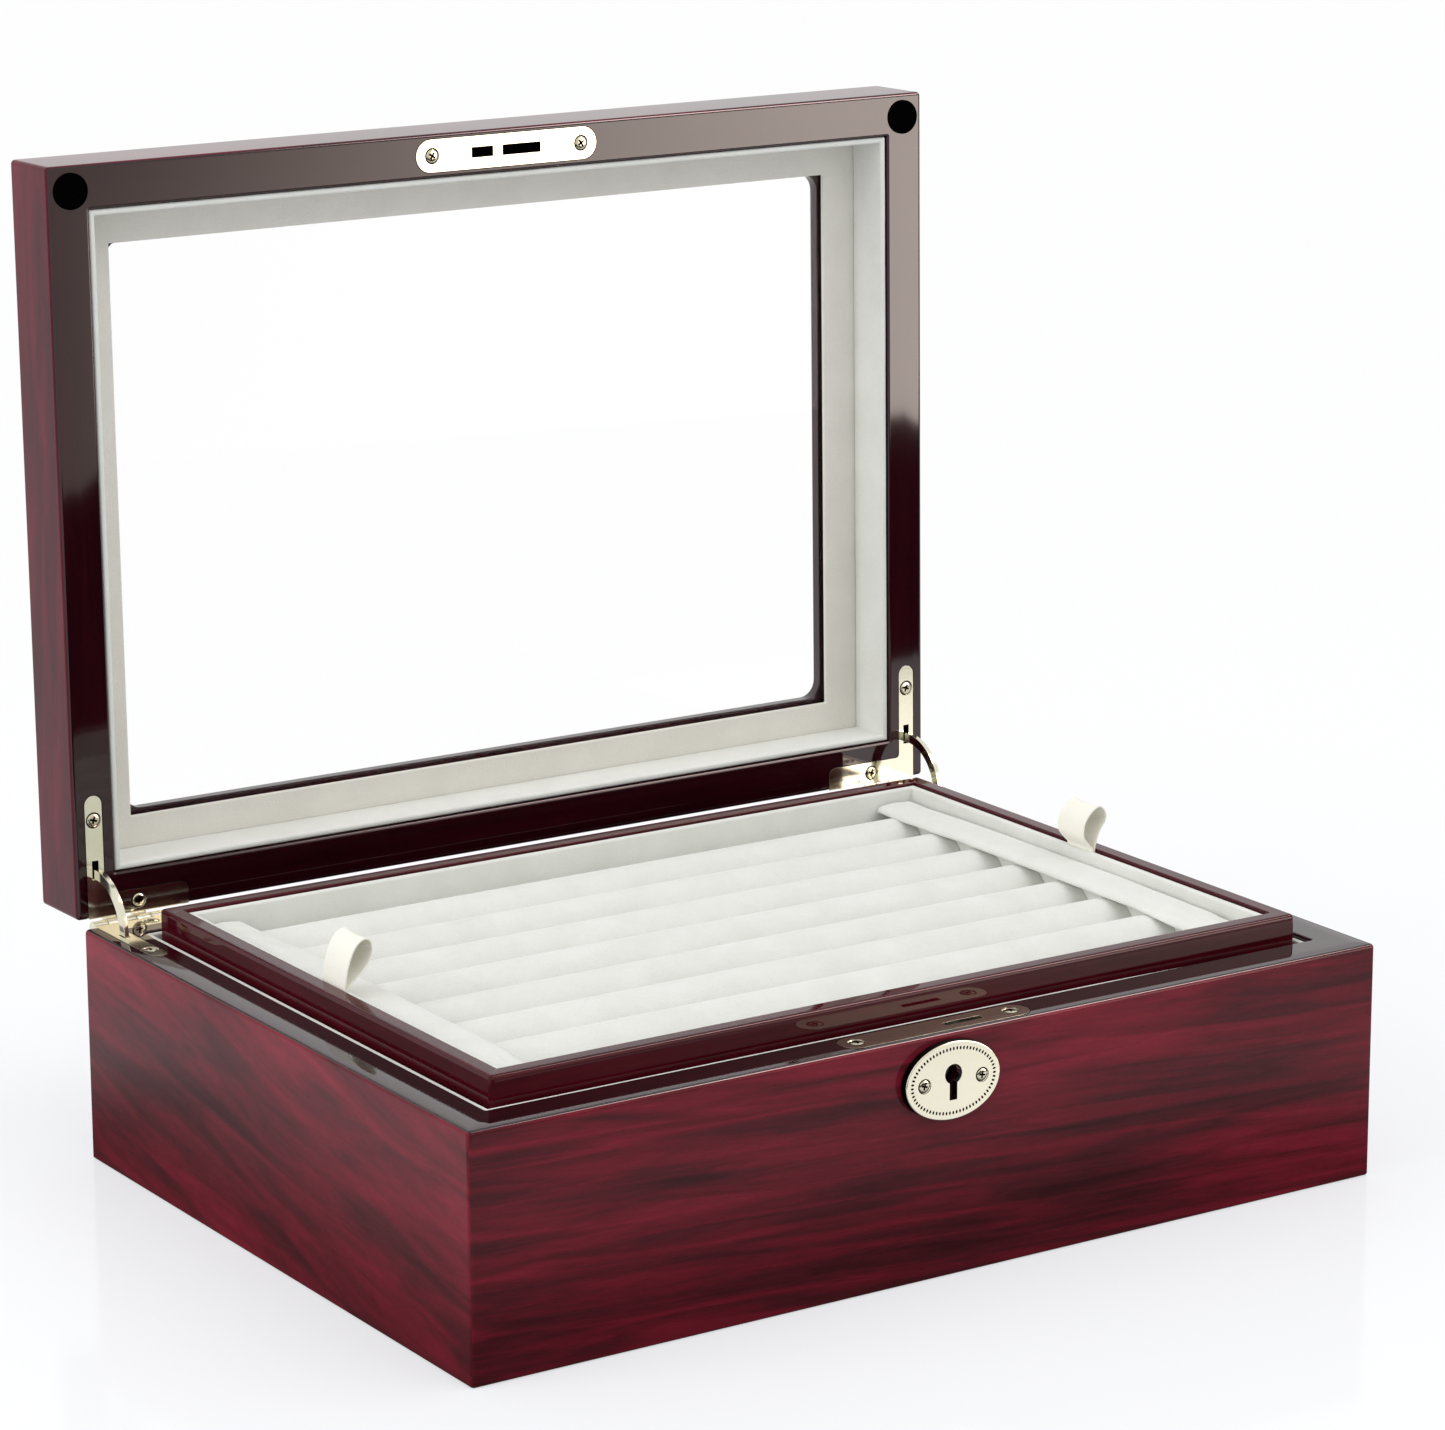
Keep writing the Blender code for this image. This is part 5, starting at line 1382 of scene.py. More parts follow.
def real_copies(tree, points, instance, rotation, scale, material):
    """Copies of an instance on points, made real geometry and given their material."""
    where = {"Points": points, "Instance": instance, "Rotation": rotation, "Scale": scale}
    copies = add_node(tree, "GeometryNodeInstanceOnPoints", where)
    real = add_node(tree, "GeometryNodeRealizeInstances", {0: copies.outputs[0]})
    return add_node(tree, "GeometryNodeSetMaterial", {"Geometry": real.outputs[0], "Material": material})


def run_tree(obj, tree, values):
    """Run a tree on an object, with its inputs set by name, and keep the result as a plain mesh."""
    modifier = obj.modifiers.new("tree", "NODES")
    modifier.node_group = tree
    for item in tree.interface.items_tree:
        if item.in_out == "INPUT" and item.name in values:
            modifier[item.identifier] = values[item.name]
    return settle(obj)


def row_tree():
    inputs = [
        ("Count", "Int"),
        ("Pitch", "Float"),
        ("Thickness spread", "Float"),
        ("Turn spread", "Float"),
        ("Seed", "Int"),
        ("Cloth", "Material"),
    ]
    tree, given, result = new_tree("row_of_rolls", inputs)
    step = add_node(tree, "ShaderNodeCombineXYZ", {"Y": given["Pitch"]})
    line = add_node(tree, "GeometryNodeMeshLine", {"Count": given["Count"], "Offset": step.outputs[0]})
    thinner = add_node(tree, "ShaderNodeMath", {0: 1.0, 1: given["Thickness spread"]}, operation="SUBTRACT")
    limits = {2: thinner.outputs[0], 3: 1.0, "Seed": given["Seed"]}
    thickness = add_node(tree, "FunctionNodeRandomValue", limits).outputs[1]
    size = add_node(tree, "ShaderNodeCombineXYZ", {"X": 1.0, "Y": thickness, "Z": thickness})
    limits = {2: 0.0, 3: given["Turn spread"], "Seed": given["Seed"]}
    turn = add_node(tree, "FunctionNodeRandomValue", limits).outputs[1]
    turned = add_node(tree, "ShaderNodeCombineXYZ", {"X": turn})
    points = line.outputs["Mesh"]
    rolls = real_copies(tree, points, given["Geometry"], turned.outputs[0], size.outputs[0], given["Cloth"])
    tree.links.new(rolls.outputs[0], result.inputs[0])
    return tree


print("tree row_of_rolls is ready")

# %% Rolls
ROLL_COUNT = 8
ROLL_AROUND = 28
ROLL_ALONG = 44
ROLL_END_ROUND = 0.0005
ROLL_END_RUN = 0.0066
ROLL_END_STEPS = 5
ROLL_CROWN = 0.00012
ROLL_CAP = 0.0005
ROLL_MEETING_GAP = 0.0001
ROLL_THICKNESS_SPREAD_SHARE = 0.012
ROLL_SEED = 7


def roll_profile(radius, half_length):
    """Radius and place along one roll, from end to end, closer together at the rounded ends."""
    end = quarter_round(
        (radius - ROLL_END_ROUND, half_length),
        (radius, half_length - ROLL_END_ROUND),
        (radius, half_length),
        ROLL_END_STEPS,
    )
    span = half_length - ROLL_END_ROUND
    middle = []
    for step in range(1, ROLL_ALONG):
        share = 1 - 2 * step / ROLL_ALONG
        middle.append((radius + ROLL_CROWN * (1 - share * share), share * span))
    points = [(point.x, point.y) for point in end] + middle
    return points + [(point.x, -point.y) for point in reversed(end)]


def make_rolls():
    low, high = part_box("roll_1")
    last_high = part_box("roll_" + str(ROLL_COUNT))[1]
    pitch = (last_high.y - high.y) / (ROLL_COUNT - 1)
    radius = (high.y - low.y) / 2
    centre = (low + high) / 2
    reach_x = high.x + ROLL_END_RUN
    rings = []
    for size, x in roll_profile(radius, reach_x):
        rings.append([Vector((x, cos * size, sin * size)) for cos, sin in circle(ROLL_AROUND)])
    rolls = loft("velvet_rolls", rings)
    values = {
        "Count": ROLL_COUNT,
        "Pitch": pitch,
        "Thickness spread": ROLL_THICKNESS_SPREAD_SHARE,
        "Turn spread": 2 * math.pi,
        "Seed": ROLL_SEED,
        "Cloth": ivory_velvet,
    }
    run_tree(rolls, row_tree(), values)
    settle(rolls, Matrix.Translation(centre))
    blow_up(rolls, ROLL_CAP)
    places = coordinates(rolls)
    index = np.clip(np.round((places[:, 1] - centre.y) / pitch), 0, ROLL_COUNT - 1)
    middle_y = centre.y + index * pitch
    reach = pitch / 2 - ROLL_MEETING_GAP
    places[:, 1] = np.clip(places[:, 1], middle_y - reach, middle_y + reach)
    places[:, 2] = np.maximum(places[:, 2], low.z)
    places[:, 0] = np.clip(places[:, 0], -reach_x, reach_x)
    set_coordinates(rolls, places)
    soften(rolls)
    return hand_over(rolls, "tray", *["roll_" + str(number + 1) for number in range(ROLL_COUNT)])


make_rolls()

# %% [markdown]
# A long bolster lies across the ends of the rolls on each side, flat below and softly crowned above. On the
# real one the rolls are tucked under its inner edge, so it has a lip there and is cut away below. It is a
# loft of one outline along the tray, drawn in at both ends, and it gets the same cloth pass.

# %% Bolsters
BOLSTER_INNER_SHOULDER = 0.0016
BOLSTER_OUTER_SHOULDER = 0.0012
BOLSTER_LIP_ROUND = 0.0004
BOLSTER_LIP_INSET = 0.0014
BOLSTER_LIP_THICK = 0.0030
BOLSTER_UNDERCUT = 0.0052
BOLSTER_CROWN = 0.0009
BOLSTER_SHRINK = 0.0002
BOLSTER_END_ROUND = 0.0012
BOLSTER_STATIONS = 40
BOLSTER_AROUND = 72
BOLSTER_CAP = 0.0006


def even_outline(points, count):
    """The same closed outline with its points set evenly along it."""
    closed = points + [points[0]]
    lengths = [0.0]
    for start, end in zip(closed, closed[1:]):
        lengths.append(lengths[-1] + (end - start).length)
    outline = []
    for step in range(count):
        wanted = lengths[-1] * step / count
        place = max(index for index, length in enumerate(lengths[:-1]) if length <= wanted)
        share = (wanted - lengths[place]) / (lengths[place + 1] - lengths[place])
        outline.append(closed[place].lerp(closed[place + 1], share))
    return outline


def bolster_section(width, height, side):
    """End view about the middle of the underside, as (across, up), with a lip over the ends of the rolls."""
    half = width / 2
    shoulder = height - BOLSTER_CROWN
    crown = side * BOLSTER_LIP_INSET / 2
    lip = -side * (half - BOLSTER_LIP_INSET)
    lip_low = height - BOLSTER_LIP_THICK
    inner_foot = lip + side * BOLSTER_UNDERCUT
    corners = [(inner_foot, 0.0), (side * half, 0.0), (side * half, shoulder), (crown, height)]
    corners += [(lip, shoulder), (lip, lip_low), (inner_foot, lip_low)]
    radii = [BOLSTER_OUTER_SHOULDER] * 3 + [half - BOLSTER_LIP_INSET, BOLSTER_INNER_SHOULDER]
    radii += [BOLSTER_LIP_ROUND] * 2
    return fillet(corners, radii)


def bolster_stations(length):
    """Inset and place of each section along the bolster, drawn in at both ends."""
    ends = quarter_round((BOLSTER_END_ROUND, 0.0), (0.0, BOLSTER_END_ROUND), (0.0, 0.0))
    stations = [(inset, along) for inset, along in ends]
    straight = length - 2 * BOLSTER_END_ROUND
    for step in range(1, BOLSTER_STATIONS):
        stations.append((0.0, BOLSTER_END_ROUND + straight * step / BOLSTER_STATIONS))
    return stations + [(inset, length - along) for inset, along in reversed(ends)]


def make_bolster(word):
    low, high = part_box("bolster_" + word)
    width = high.x - low.x - 2 * BOLSTER_SHRINK
    height = high.z - low.z - BOLSTER_SHRINK
    length = high.y - low.y - 2 * BOLSTER_SHRINK
    side = -1 if word == "left" else 1
    section = even_outline(bolster_section(width, height, side), BOLSTER_AROUND)
    centre_x = (low.x + high.x) / 2
    middle = Vector((0.0, height / 2))
    rings = []
    for inset, along in bolster_stations(length):
        size = 1 - inset / (width / 2)
        y = low.y + BOLSTER_SHRINK + along
        spots = [middle + (point - middle) * size for point in section]
        rings.append([Vector((centre_x + spot.x, y, low.z + spot.y)) for spot in spots])
    bolster = loft("velvet_bolster_" + word, rings)
    paint(bolster, ivory_velvet)
    blow_up(bolster, BOLSTER_CAP)
    set_coordinates(bolster, np.clip(coordinates(bolster), low, high))
    soften(bolster)
    return hand_over(bolster, "tray", "bolster_" + word)


make_bolster("left")
make_bolster("right")

# %% [markdown]
# The pad on the floor of the base is thin card under velvet, a little sunk in its middle where things have
# lain. Nested rings, each smaller than the last, make a grid that can sag. It is too thin to blow up, so its
# shape comes from the rings alone.

# %% Pad in the base
PAD_EDGE_ROUND = 0.0009
PAD_GRID = 30
PAD_RINGS = 15
PAD_SAG = 0.00035
PAD_SAG_POWER = 0.8


def make_pad():
    low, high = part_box("base_floor_pad")
    rings = [ring(high.x, high.y, WRAP_ROUND, low.z, PAD_GRID)]
    for inset, z in quarter_round((0.0, high.z - PAD_EDGE_ROUND), (PAD_EDGE_ROUND, high.z), (0.0, high.z)):
        rings.append(ring(high.x - inset, high.y - inset, WRAP_ROUND, z, PAD_GRID))
    for step in range(1, PAD_RINGS):
        share = (step / PAD_RINGS) ** PAD_SAG_POWER
        half_x = (high.x - PAD_EDGE_ROUND) * (1 - share)
        half_y = (high.y - PAD_EDGE_ROUND) * (1 - share)
        z = high.z - PAD_SAG * math.sin(share * math.pi / 2)
        rings.append(ring(half_x, half_y, WRAP_CORNER, z, PAD_GRID))
    pad = loft("velvet_floor_pad", rings)
    paint(pad, ivory_velvet)
    smooth(pad)
    return hand_over(pad, "base", "base_floor_pad")


make_pad()

# %% [markdown]
# Each pull loop is one length of cream grosgrain ribbon, folded into a drop-shaped loop with both tails
# glued behind the lining. No two hang alike: the left one leans over the rolls, the right one stands up and
# bulges. So each line is drawn by a dozen points, and a smooth curve goes through them. A strip of faces
# follows that line, and Solidify gives it the ribbon's thickness.

# %% Ribbon pull loops
RIBBON_WIDTH = 0.012
RIBBON_THICK = 0.00040
RIBBON_SPACING = 0.00045
RIBBON_CURL = 0.0003
RIBBON_ACROSS = 8
RIBBON_SMOOTH_ANGLE = math.radians(50.0)
LOOP_HEIGHT = 0.0124
LOOP_TAIL = 0.0103
LOOP_STEPS = 64
TAIL_STEPS = 8
LOOP_SWEEPS = {"left": 0.0006, "right": -0.0008}
# Points of each loop as (across, up), in shares of its height
LEFT_LOOP_SHARES = [
    (0.008065, 0.177419),
    (0.056452, 0.419355),
    (0.161290, 0.701613),
    (0.290323, 0.895161),
    (0.427419, 0.983871),
    (0.540323, 1.000000),
    (0.629032, 0.927419),
    (0.661290, 0.798387),
    (0.645161, 0.661290),
    (0.556452, 0.491935),
    (0.403226, 0.314516),
    (0.217742, 0.161290),
]
RIGHT_LOOP_SHARES = [
    (-0.153226, 0.129032),
    (-0.290323, 0.290323),
    (-0.330645, 0.459677),
    (-0.298387, 0.661290),
    (-0.185484, 0.838710),
    (-0.040323, 0.959677),
    (0.088710, 1.000000),
    (0.209677, 0.919355),
    (0.282258, 0.774194),
    (0.258065, 0.620968),
    (0.153226, 0.475806),
    (0.072581, 0.274194),
    (0.040323, 0.120968),
]
LOOP_SHARES = {"left": LEFT_LOOP_SHARES, "right": RIGHT_LOOP_SHARES}


def through(points, count):
    """A smooth line of a given number of steps through the points (Catmull-Rom)."""
    spans = len(points) - 1
    padded = [2 * points[0] - points[1]] + points + [2 * points[-1] - points[-2]]
    line = []
    for step in range(count + 1):
        place = spans * step / count
        index = min(int(place), spans - 1)
        t = place - index
        a, b, c, d = padded[index : index + 4]
        square = (2 * a - 5 * b + 4 * c - d) * t**2
        cube = (3 * b - a - 3 * c + d) * t**3
        line.append((2 * b + (c - a) * t + square + cube) / 2)
    return line


def ribbon_line(word):
    """Points of the ribbon as (x, up) from the top of the tray, up one tail and down the other."""
    half = RIBBON_SPACING / 2
    shape = [Vector(shares) * LOOP_HEIGHT for shares in LOOP_SHARES[word]]
    loop = through([Vector((-half, 0.0))] + shape + [Vector((half, 0.0))], LOOP_STEPS)
    before = [Vector((-half, -LOOP_TAIL * (1 - step / TAIL_STEPS))) for step in range(TAIL_STEPS)]
    after = [Vector((half, -LOOP_TAIL * step / TAIL_STEPS)) for step in range(1, TAIL_STEPS + 1)]
    return before + loop + after


def make_loop(word):
    side = -1 if word == "left" else 1
    tail_x = side * (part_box("tray_lining")[1].x - RIBBON_SPACING)
    line = ribbon_line(word)
    lengths = [0.0]
    for start, end in zip(line, line[1:]):
        lengths.append(lengths[-1] + (end - start).length)
    points = []
    for point in line:
        above = max(0.0, point.y) / LOOP_HEIGHT
        for step in range(RIBBON_ACROSS + 1):
            share = step / RIBBON_ACROSS - 1 / 2
            # The ribbon is a shallow trough across, deeper towards the top of the loop
            curl = RIBBON_CURL * above * (4 * share * share - 1 / 3)
            y = share * RIBBON_WIDTH + LOOP_SWEEPS[word] * above
            points.append((tail_x + point.x + curl, y, TRAY_TOP + point.y + curl * above))
    across = RIBBON_ACROSS + 1
    faces = []
    for row in range(len(line) - 1):
        for step in range(RIBBON_ACROSS):
            corner = row * across + step
            faces.append((corner, corner + 1, corner + across + 1, corner + across))
    mesh = bpy.data.meshes.new("ribbon_loop_" + word)
    mesh.from_pydata(points, [], faces)
    layer = mesh.uv_layers.new(name="weave")
    for corner in mesh.loops:
        row, step = divmod(corner.vertex_index, across)
        layer.data[corner.index].uv = (lengths[row], step / RIBBON_ACROSS * RIBBON_WIDTH)
    loop = new_object("ribbon_loop_" + word, mesh)
    paint(loop, ribbon_cloth)
    wall = loop.modifiers.new("thickness", "SOLIDIFY")
    wall.thickness = RIBBON_THICK
    wall.offset = 0.0
    settle(loop)
    smooth(loop, RIBBON_SMOOTH_ANGLE)
    hand_over(loop, "tray", "pull_loop_" + word)
    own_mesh(loop)
    print("ribbon of the", word, "loop is", round(1000 * lengths[-1], 1), "mm long")
    return loop


make_loop("left")
make_loop("right")

# %% [markdown]
# Stamped fittings leave the press with soft edges, and polishing softens them further: a bright line along
# each edge is what tells the eye that it is plated metal. So the leaves, plates and stays are merged copies
# of their CAD nodes with a fine bevel, and on the leaves and plates the bevel takes the rubbed finish, whose
# paler tint paints a highlight along it. The seats of the screws and the knuckles come with the node. The
# glass is dressed in the same way, with its edge ground instead of polished.

# %% Leaves, plates and stays
EDGE_BREAK = 0.00042
STAY_EDGE_BREAK = 0.00028
GLASS_EDGE_BREAK = 0.0002
BREAK_ANGLE = math.radians(34.0)
FLAT_ANGLE = math.radians(0.5)


def dressed(node, name, body, material, edge_material, width):
    """A merged copy of a CAD node with its hard edges broken, in a finish of their own."""
    mesh = frame["nodes"][node].data.copy()
    bm = bmesh.new()
    bm.from_mesh(mesh)
    bmesh.ops.remove_doubles(bm, verts=bm.verts, dist=MERGE)
    bmesh.ops.dissolve_limit(bm, angle_limit=FLAT_ANGLE, verts=bm.verts, edges=bm.edges)
    bm.to_mesh(mesh)
    bm.free()
    obj = new_object(name, mesh)
    paint(obj, material, edge_material)
    broken = obj.modifiers.new("edges", "BEVEL")
    broken.material = 1
    broken.width = width
    broken.segments = 2
    broken.limit_method = "ANGLE"
    broken.angle_limit = BREAK_ANGLE
    settle(obj)
    smooth(obj)
    return hand_over(obj, body, node)


for word in ("left", "right"):
    for body in ("base", "lid"):
        node = "hinge_" + word + "_" + body + "_leaf"
        dressed(node, "plated_" + node, body, pale_gold, rubbed_edge_highlight, EDGE_BREAK)
    stay = "stay_" + word
    dressed(stay, "plated_" + stay, word + "_stay", pale_gold, pale_gold, STAY_EDGE_BREAK)
dressed("lock_face_plate", "plated_lock_plate", "base", pale_gold, rubbed_edge_highlight, EDGE_BREAK)
dressed("strike_plate", "plated_strike_plate", "lid", pale_gold, rubbed_edge_highlight, EDGE_BREAK)
dressed("lid_glass", "ground_edge_glass", "lid", glass, glass, GLASS_EDGE_BREAK)
for node in ("lock_case", "lock_bolt"):
    for material_slot in frame["nodes"][node].material_slots:
        material_slot.material = zinc
print("zinc on lock_case and lock_bolt")

# %% [markdown]
# The escutcheon is an oval shield with a ring of fine punch marks inside its edge, a keyhole and two screws.
# The shield is a stack of ovals. The punch marks follow a path, so Geometry Nodes sets them out: an oval
# curve, resampled to an even count, with one small egg across it at each point. They are then cut out of the
# shield together, and their darker finish stays in the marks, as patina does. The same dark finish goes on
# the shield's upright rim as painted shade.

# %% Escutcheon
SHIELD_ROUND = 0.00035
SHIELD_STEPS = 72
SHIELD_EDGE_ANGLE = math.radians(20.0)
SHIELD_SMOOTH_ANGLE = math.radians(24.0)
PUNCH_COUNT = 64
PUNCH_OVAL_STEPS = 96
PUNCH_INSET = 0.0019
PUNCH_HALF_WIDTH = 0.00031
PUNCH_HALF_LENGTH = 0.00052
PUNCH_HALF_DEPTH = 0.0003
PUNCH_SINK = 0.00004
SMALL_SEAT_RADIUS = 0.00205
SMALL_SEAT_DEPTH = 0.0011
SMALL_SEAT_FOOT = 0.00105


def oval_ring(half_x, half_z, centre_z, y):
    return [Vector((cos * half_x, y, centre_z + sin * half_z)) for cos, sin in circle(SHIELD_STEPS)]


def punch_tree():
    inputs = [
        ("Half width", "Float"),
        ("Half height", "Float"),
        ("Count", "Int"),
        ("Half sizes of a mark", "Vector"),
        ("Metal", "Material"),
    ]
    tree, given, result = new_tree("ring_of_punch_marks", inputs)
    round_path = {"Resolution": PUNCH_OVAL_STEPS, "Radius": 1.0}
    path = add_node(tree, "GeometryNodeCurvePrimitiveCircle", round_path)
    halves = {"X": given["Half width"], "Y": given["Half height"], "Z": 1.0}
    size = add_node(tree, "ShaderNodeCombineXYZ", halves)
    oval = add_node(tree, "GeometryNodeTransform", {"Geometry": path.outputs[0], "Scale": size.outputs[0]})
    even = add_node(tree, "GeometryNodeResampleCurve", {"Curve": oval.outputs[0], "Count": given["Count"]})
    ball = add_node(tree, "GeometryNodeMeshIcoSphere", {"Radius": 1.0, "Subdivisions": 2})
    along = add_node(tree, "GeometryNodeInputTangent")
    aimed = add_node(tree, "FunctionNodeAlignRotationToVector", {"Vector": along.outputs[0]}, axis="X")
    mark, turn, sizes = ball.outputs["Mesh"], aimed.outputs[0], given["Half sizes of a mark"]
    marks = real_copies(tree, even.outputs[0], mark, turn, sizes, given["Metal"])
    tree.links.new(marks.outputs[0], result.inputs[0])
    return tree


def punch_marks(half_x, half_z, centre_z, face):
    """The ring of marks, upright on the face of the shield, as a cutter."""
    marks = new_object("punch_marks", bpy.data.meshes.new("punch_marks"))
    values = {
        "Half width": half_x - PUNCH_INSET,
        "Half height": half_z - PUNCH_INSET,
        "Count": PUNCH_COUNT,
        "Half sizes of a mark": (PUNCH_HALF_WIDTH, PUNCH_HALF_LENGTH, PUNCH_HALF_DEPTH),
        "Metal": patina_and_shade_gold,
    }
    run_tree(marks, punch_tree(), values)
    place = Matrix.Translation(Vector((0.0, face - PUNCH_SINK, centre_z)))
    return settle(marks, place @ Matrix.Rotation(math.pi / 2, 4, "X"))


def shield_seat(word, face, back):
    """A countersunk seat for one screw of the shield, as a cutter."""
    low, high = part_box("escutcheon_screw_" + word)
    centre = (low + high) / 2
    profile = [
        (SMALL_SEAT_RADIUS, face - OVERRUN),
        (SMALL_SEAT_RADIUS, face + FIT),
        (SMALL_SEAT_FOOT, face + SMALL_SEAT_DEPTH),
        (SMALL_SEAT_FOOT, back + OVERRUN),
    ]
    rings = []
    for radius, y in profile:
        spots = [(centre.x + radius * cos, centre.z + radius * sin) for cos, sin in circle(KEYHOLE_STEPS)]
        rings.append([Vector((x, y, z)) for x, z in spots])
    return loft("screw_seat", rings)


def make_escutcheon():
    low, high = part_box("escutcheon")
    half_x = (high.x - low.x) / 2
    half_z = (high.z - low.z) / 2
    centre_z = (low.z + high.z) / 2
    face = low.y
    rings = [oval_ring(half_x, half_z, centre_z, high.y)]
    for inset, y in quarter_round((0.0, face + SHIELD_ROUND), (SHIELD_ROUND, face), (0.0, face)):
        rings.append(oval_ring(half_x - inset, half_z - inset, centre_z, y))
    shield = loft("plated_escutcheon", rings)
    paint(shield, pale_gold)
    keyhole = upright_prism("keyhole", keyhole_outline(), centre_z, face - OVERRUN, high.y + OVERRUN)
    seats = [shield_seat(word, face, high.y) for word in ("left", "right")]
    cut(shield, [punch_marks(half_x, half_z, centre_z, face), keyhole, *seats])
    # The shield's upright rim takes the dark finish: painted shade
    rim_shade_slot = shield.data.materials.find(patina_and_shade_gold.name)
    for side in shield.data.polygons:
        spot = Vector((side.center.x / half_x, (side.center.z - centre_z) / half_z))
        upright = abs(side.normal.y) < math.sin(SHIELD_EDGE_ANGLE)
        if upright and spot.length > 1 - SHIELD_ROUND / half_x:
            side.material_index = rim_shade_slot
    smooth(shield, SHIELD_SMOOTH_ANGLE)
    return hand_over(shield, "base", "escutcheon")


make_escutcheon()

# %% [markdown]
# All the screws are countersunk cross-head brass screws of one shape in two sizes. One is made by hand: a
# turned blank with a tapered cross cut into it. A tree then puts a copy at each place, faces it along the
# hole and gives its cross a random turn, because no one lines up screws in a box like this.

# %% Screws
SCREW_RADIUS = 0.0021
SCREW_HEAD_DEPTH = 0.0012
SCREW_LAND = 0.00024
SCREW_DOME = 0.00018
SCREW_SINK = 0.00008
SCREW_SHANK = 0.00085
SCREW_LENGTH = 0.0082
SCREW_TIP = 0.0018
SCREW_AROUND = 28
CROSS_ARM = 0.00125
CROSS_HALF = 0.00034
CROSS_DEPTH = 0.00075
CROSS_TAPER_SHARE = 0.6
BASE_SCREW_SEED = 3
LID_SCREW_SEED = 11


def make_screw_blank():
    """One screw along Z, its head's rim at zero and its point below."""
    profile = [
        (SCREW_RADIUS / 3, SCREW_DOME),
        (SCREW_RADIUS * 2 / 3, SCREW_DOME * 2 / 3),
        (SCREW_RADIUS - SCREW_LAND, 0.0),
        (SCREW_RADIUS, -SCREW_LAND),
        (SCREW_SHANK, -SCREW_HEAD_DEPTH),
        (SCREW_SHANK, -SCREW_LENGTH + SCREW_TIP),
        (SCREW_LAND, -SCREW_LENGTH),
    ]
    rings = [[Vector((r * cos, r * sin, z)) for cos, sin in circle(SCREW_AROUND)] for r, z in profile]
    blank = loft("screw_blank", rings)
    arm, half = CROSS_ARM, CROSS_HALF
    plus = [(arm, -half), (arm, half), (half, half), (half, arm), (-half, arm), (-half, half)]
    plus += [(-arm, half), (-arm, -half), (-half, -half), (-half, -arm), (half, -arm), (half, -half)]
    levels = ((1.0, SCREW_LAND + SCREW_DOME), (CROSS_TAPER_SHARE, -CROSS_DEPTH))
    cross = loft("cross", [[Vector((x * size, y * size, z)) for x, y in plus] for size, z in levels])
    cut(blank, [cross])
    # The cross and the land round the head are marked for the dark brown: grime, with painted shade in these
    # hollows
    grime = blank.data.attributes.new("grime", "BOOLEAN", "FACE")
    for face, mark in zip(blank.data.polygons, grime.data):
        mark.value = face.center.z < -SCREW_LAND / 4
    return blank


def screw_tree():
    inputs = [("Screw", "Object"), ("Seed", "Int"), ("Metal", "Material"), ("Grime", "Material")]
    tree, given, result = new_tree("screws_on_points", inputs)
    screw = add_node(tree, "GeometryNodeObjectInfo", {"Object": given["Screw"]}).outputs["Geometry"]
    named = {}
    for name, kind in (("facing", "FLOAT_VECTOR"), ("head", "FLOAT"), ("grime", "BOOLEAN")):
        named[name] = add_node(tree, "GeometryNodeInputNamedAttribute", {"Name": name}, data_type=kind)
    facing = {"Vector": named["facing"].outputs[0]}
    aimed = add_node(tree, "FunctionNodeAlignRotationToVector", facing, axis="Z")
    chance = add_node(tree, "FunctionNodeRandomValue", {2: 0.0, 3: math.pi / 2, "Seed": given["Seed"]})
    about_z = {"Axis": (0.0, 0.0, 1.0), "Angle": chance.outputs[1]}
    spin = add_node(tree, "FunctionNodeAxisAngleToRotation", about_z)
    both = {"Rotation": aimed.outputs[0], "Rotate By": spin.outputs[0]}
    turned = add_node(tree, "FunctionNodeRotateRotation", both, rotation_space="LOCAL").outputs[0]
    size = named["head"].outputs[0]
    plated = real_copies(tree, given["Geometry"], screw, turned, size, given["Metal"])
    # The marked faces take the dark brown: grime with painted shade
    darkened_faces = {"Geometry": plated.outputs[0], "Selection": named["grime"].outputs[0], "Material": given["Grime"]}
    darkened_screws = add_node(tree, "GeometryNodeSetMaterial", darkened_faces)
    tree.links.new(darkened_screws.outputs[0], result.inputs[0])
    return tree


def screw_places(body):
    """Node, head centre, direction and size of each screw on a body, from its CAD node."""
    places = []
    for node in frame["record"]["behaviour"]["bodies"][body]:
        if "screw" not in node:
            continue
        low, high = shut_box(node) if body == "lid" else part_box(node)
        centre = (low + high) / 2
        if node.startswith("escutcheon"):
            facing = Vector((0.0, -1.0, 0.0))
            head = Vector((centre.x, low.y, centre.z))
        elif body == "lid":
            facing = Vector((0.0, 0.0, -1.0))
            head = Vector((centre.x, centre.y, low.z))
        else:
            facing = Vector((0.0, 0.0, 1.0))
            head = Vector((centre.x, centre.y, high.z))
        size = (high.x - low.x) / 2 / SCREW_RADIUS
        places.append((node, head - facing * SCREW_SINK, facing, size))
    return places


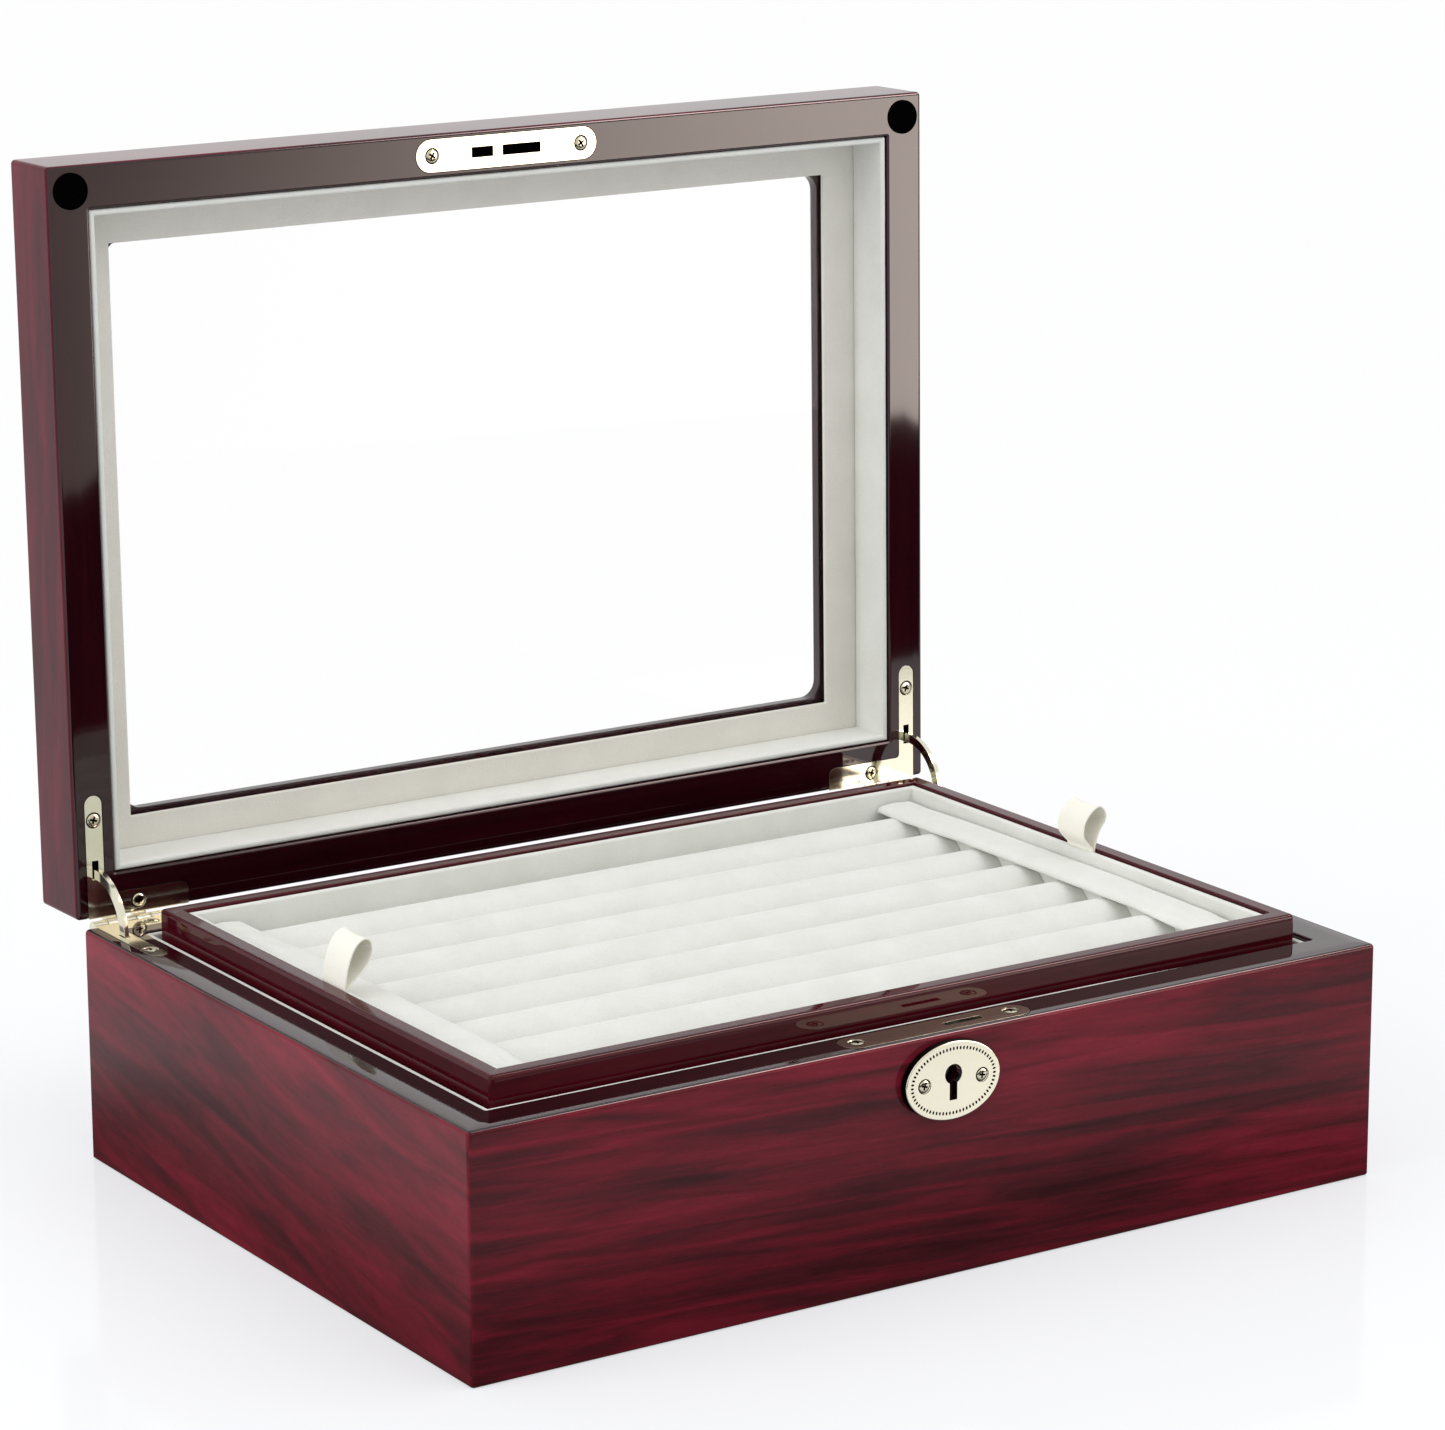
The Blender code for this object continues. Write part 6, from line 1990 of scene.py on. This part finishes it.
def make_screws(body, blank, tree, seed):
    places = screw_places(body)
    mesh = bpy.data.meshes.new("cross_head_screws_" + body)
    mesh.from_pydata([head for node, head, facing, size in places], [], [])
    mesh.attributes.new("facing", "FLOAT_VECTOR", "POINT")
    mesh.attributes.new("head", "FLOAT", "POINT")
    for index, (node, head, facing, size) in enumerate(places):
        mesh.attributes["facing"].data[index].vector = facing
        mesh.attributes["head"].data[index].value = size
    screws = new_object("cross_head_screws_" + body, mesh)
    run_tree(screws, tree, {"Screw": blank, "Seed": seed, "Metal": screw_gold, "Grime": patina_and_shade_gold})
    smooth(screws)
    if body == "lid":
        settle(screws, OPENED)
    return hand_over(screws, body, *[node for node, head, facing, size in places])


screw_blank = make_screw_blank()
on_points = screw_tree()
make_screws("base", screw_blank, on_points, BASE_SCREW_SEED)
make_screws("lid", screw_blank, on_points, LID_SCREW_SEED)
bpy.data.objects.remove(screw_blank, do_unlink=True)

# %% [markdown]
# Two felt discs at the front corners of the lid keep it from knocking on the rim. Felt is soft, so the disc
# has a generous round at its edge and a slightly uneven face.

# %% Bumpers
BUMPER_ROUND = 0.00035
BUMPER_AROUND = 40
BUMPER_RINGS = 6
BUMPER_UNEVEN = 0.00004
FELT_CLUMP = 0.0016


def make_bumper(word):
    low, high = shut_box("bumper_" + word)
    centre = (low + high) / 2
    radius = (high.x - low.x) / 2
    profile = [(radius, high.z)]
    edge = quarter_round((radius, low.z + BUMPER_ROUND), (radius - BUMPER_ROUND, low.z), (radius, low.z))
    profile += [(point.x, point.y) for point in edge]
    for step in range(1, BUMPER_RINGS):
        profile.append(((radius - BUMPER_ROUND) * (1 - step / BUMPER_RINGS), low.z))
    rings = []
    for size, z in profile:
        spots = [(centre.x + size * cos, centre.y + size * sin) for cos, sin in circle(BUMPER_AROUND)]
        rings.append([Vector((x, y, z)) for x, y in spots])
    bumper = loft("felt_bumper_" + word, rings)
    for vert in bumper.data.vertices:
        if vert.co.z < high.z - BUMPER_ROUND:
            vert.co.z += abs(noise.noise(vert.co / FELT_CLUMP)) * BUMPER_UNEVEN
    paint(bumper, black_felt)
    smooth(bumper)
    return hand_over(settle(bumper, OPENED), "lid", "bumper_" + word)


make_bumper("left")
make_bumper("right")
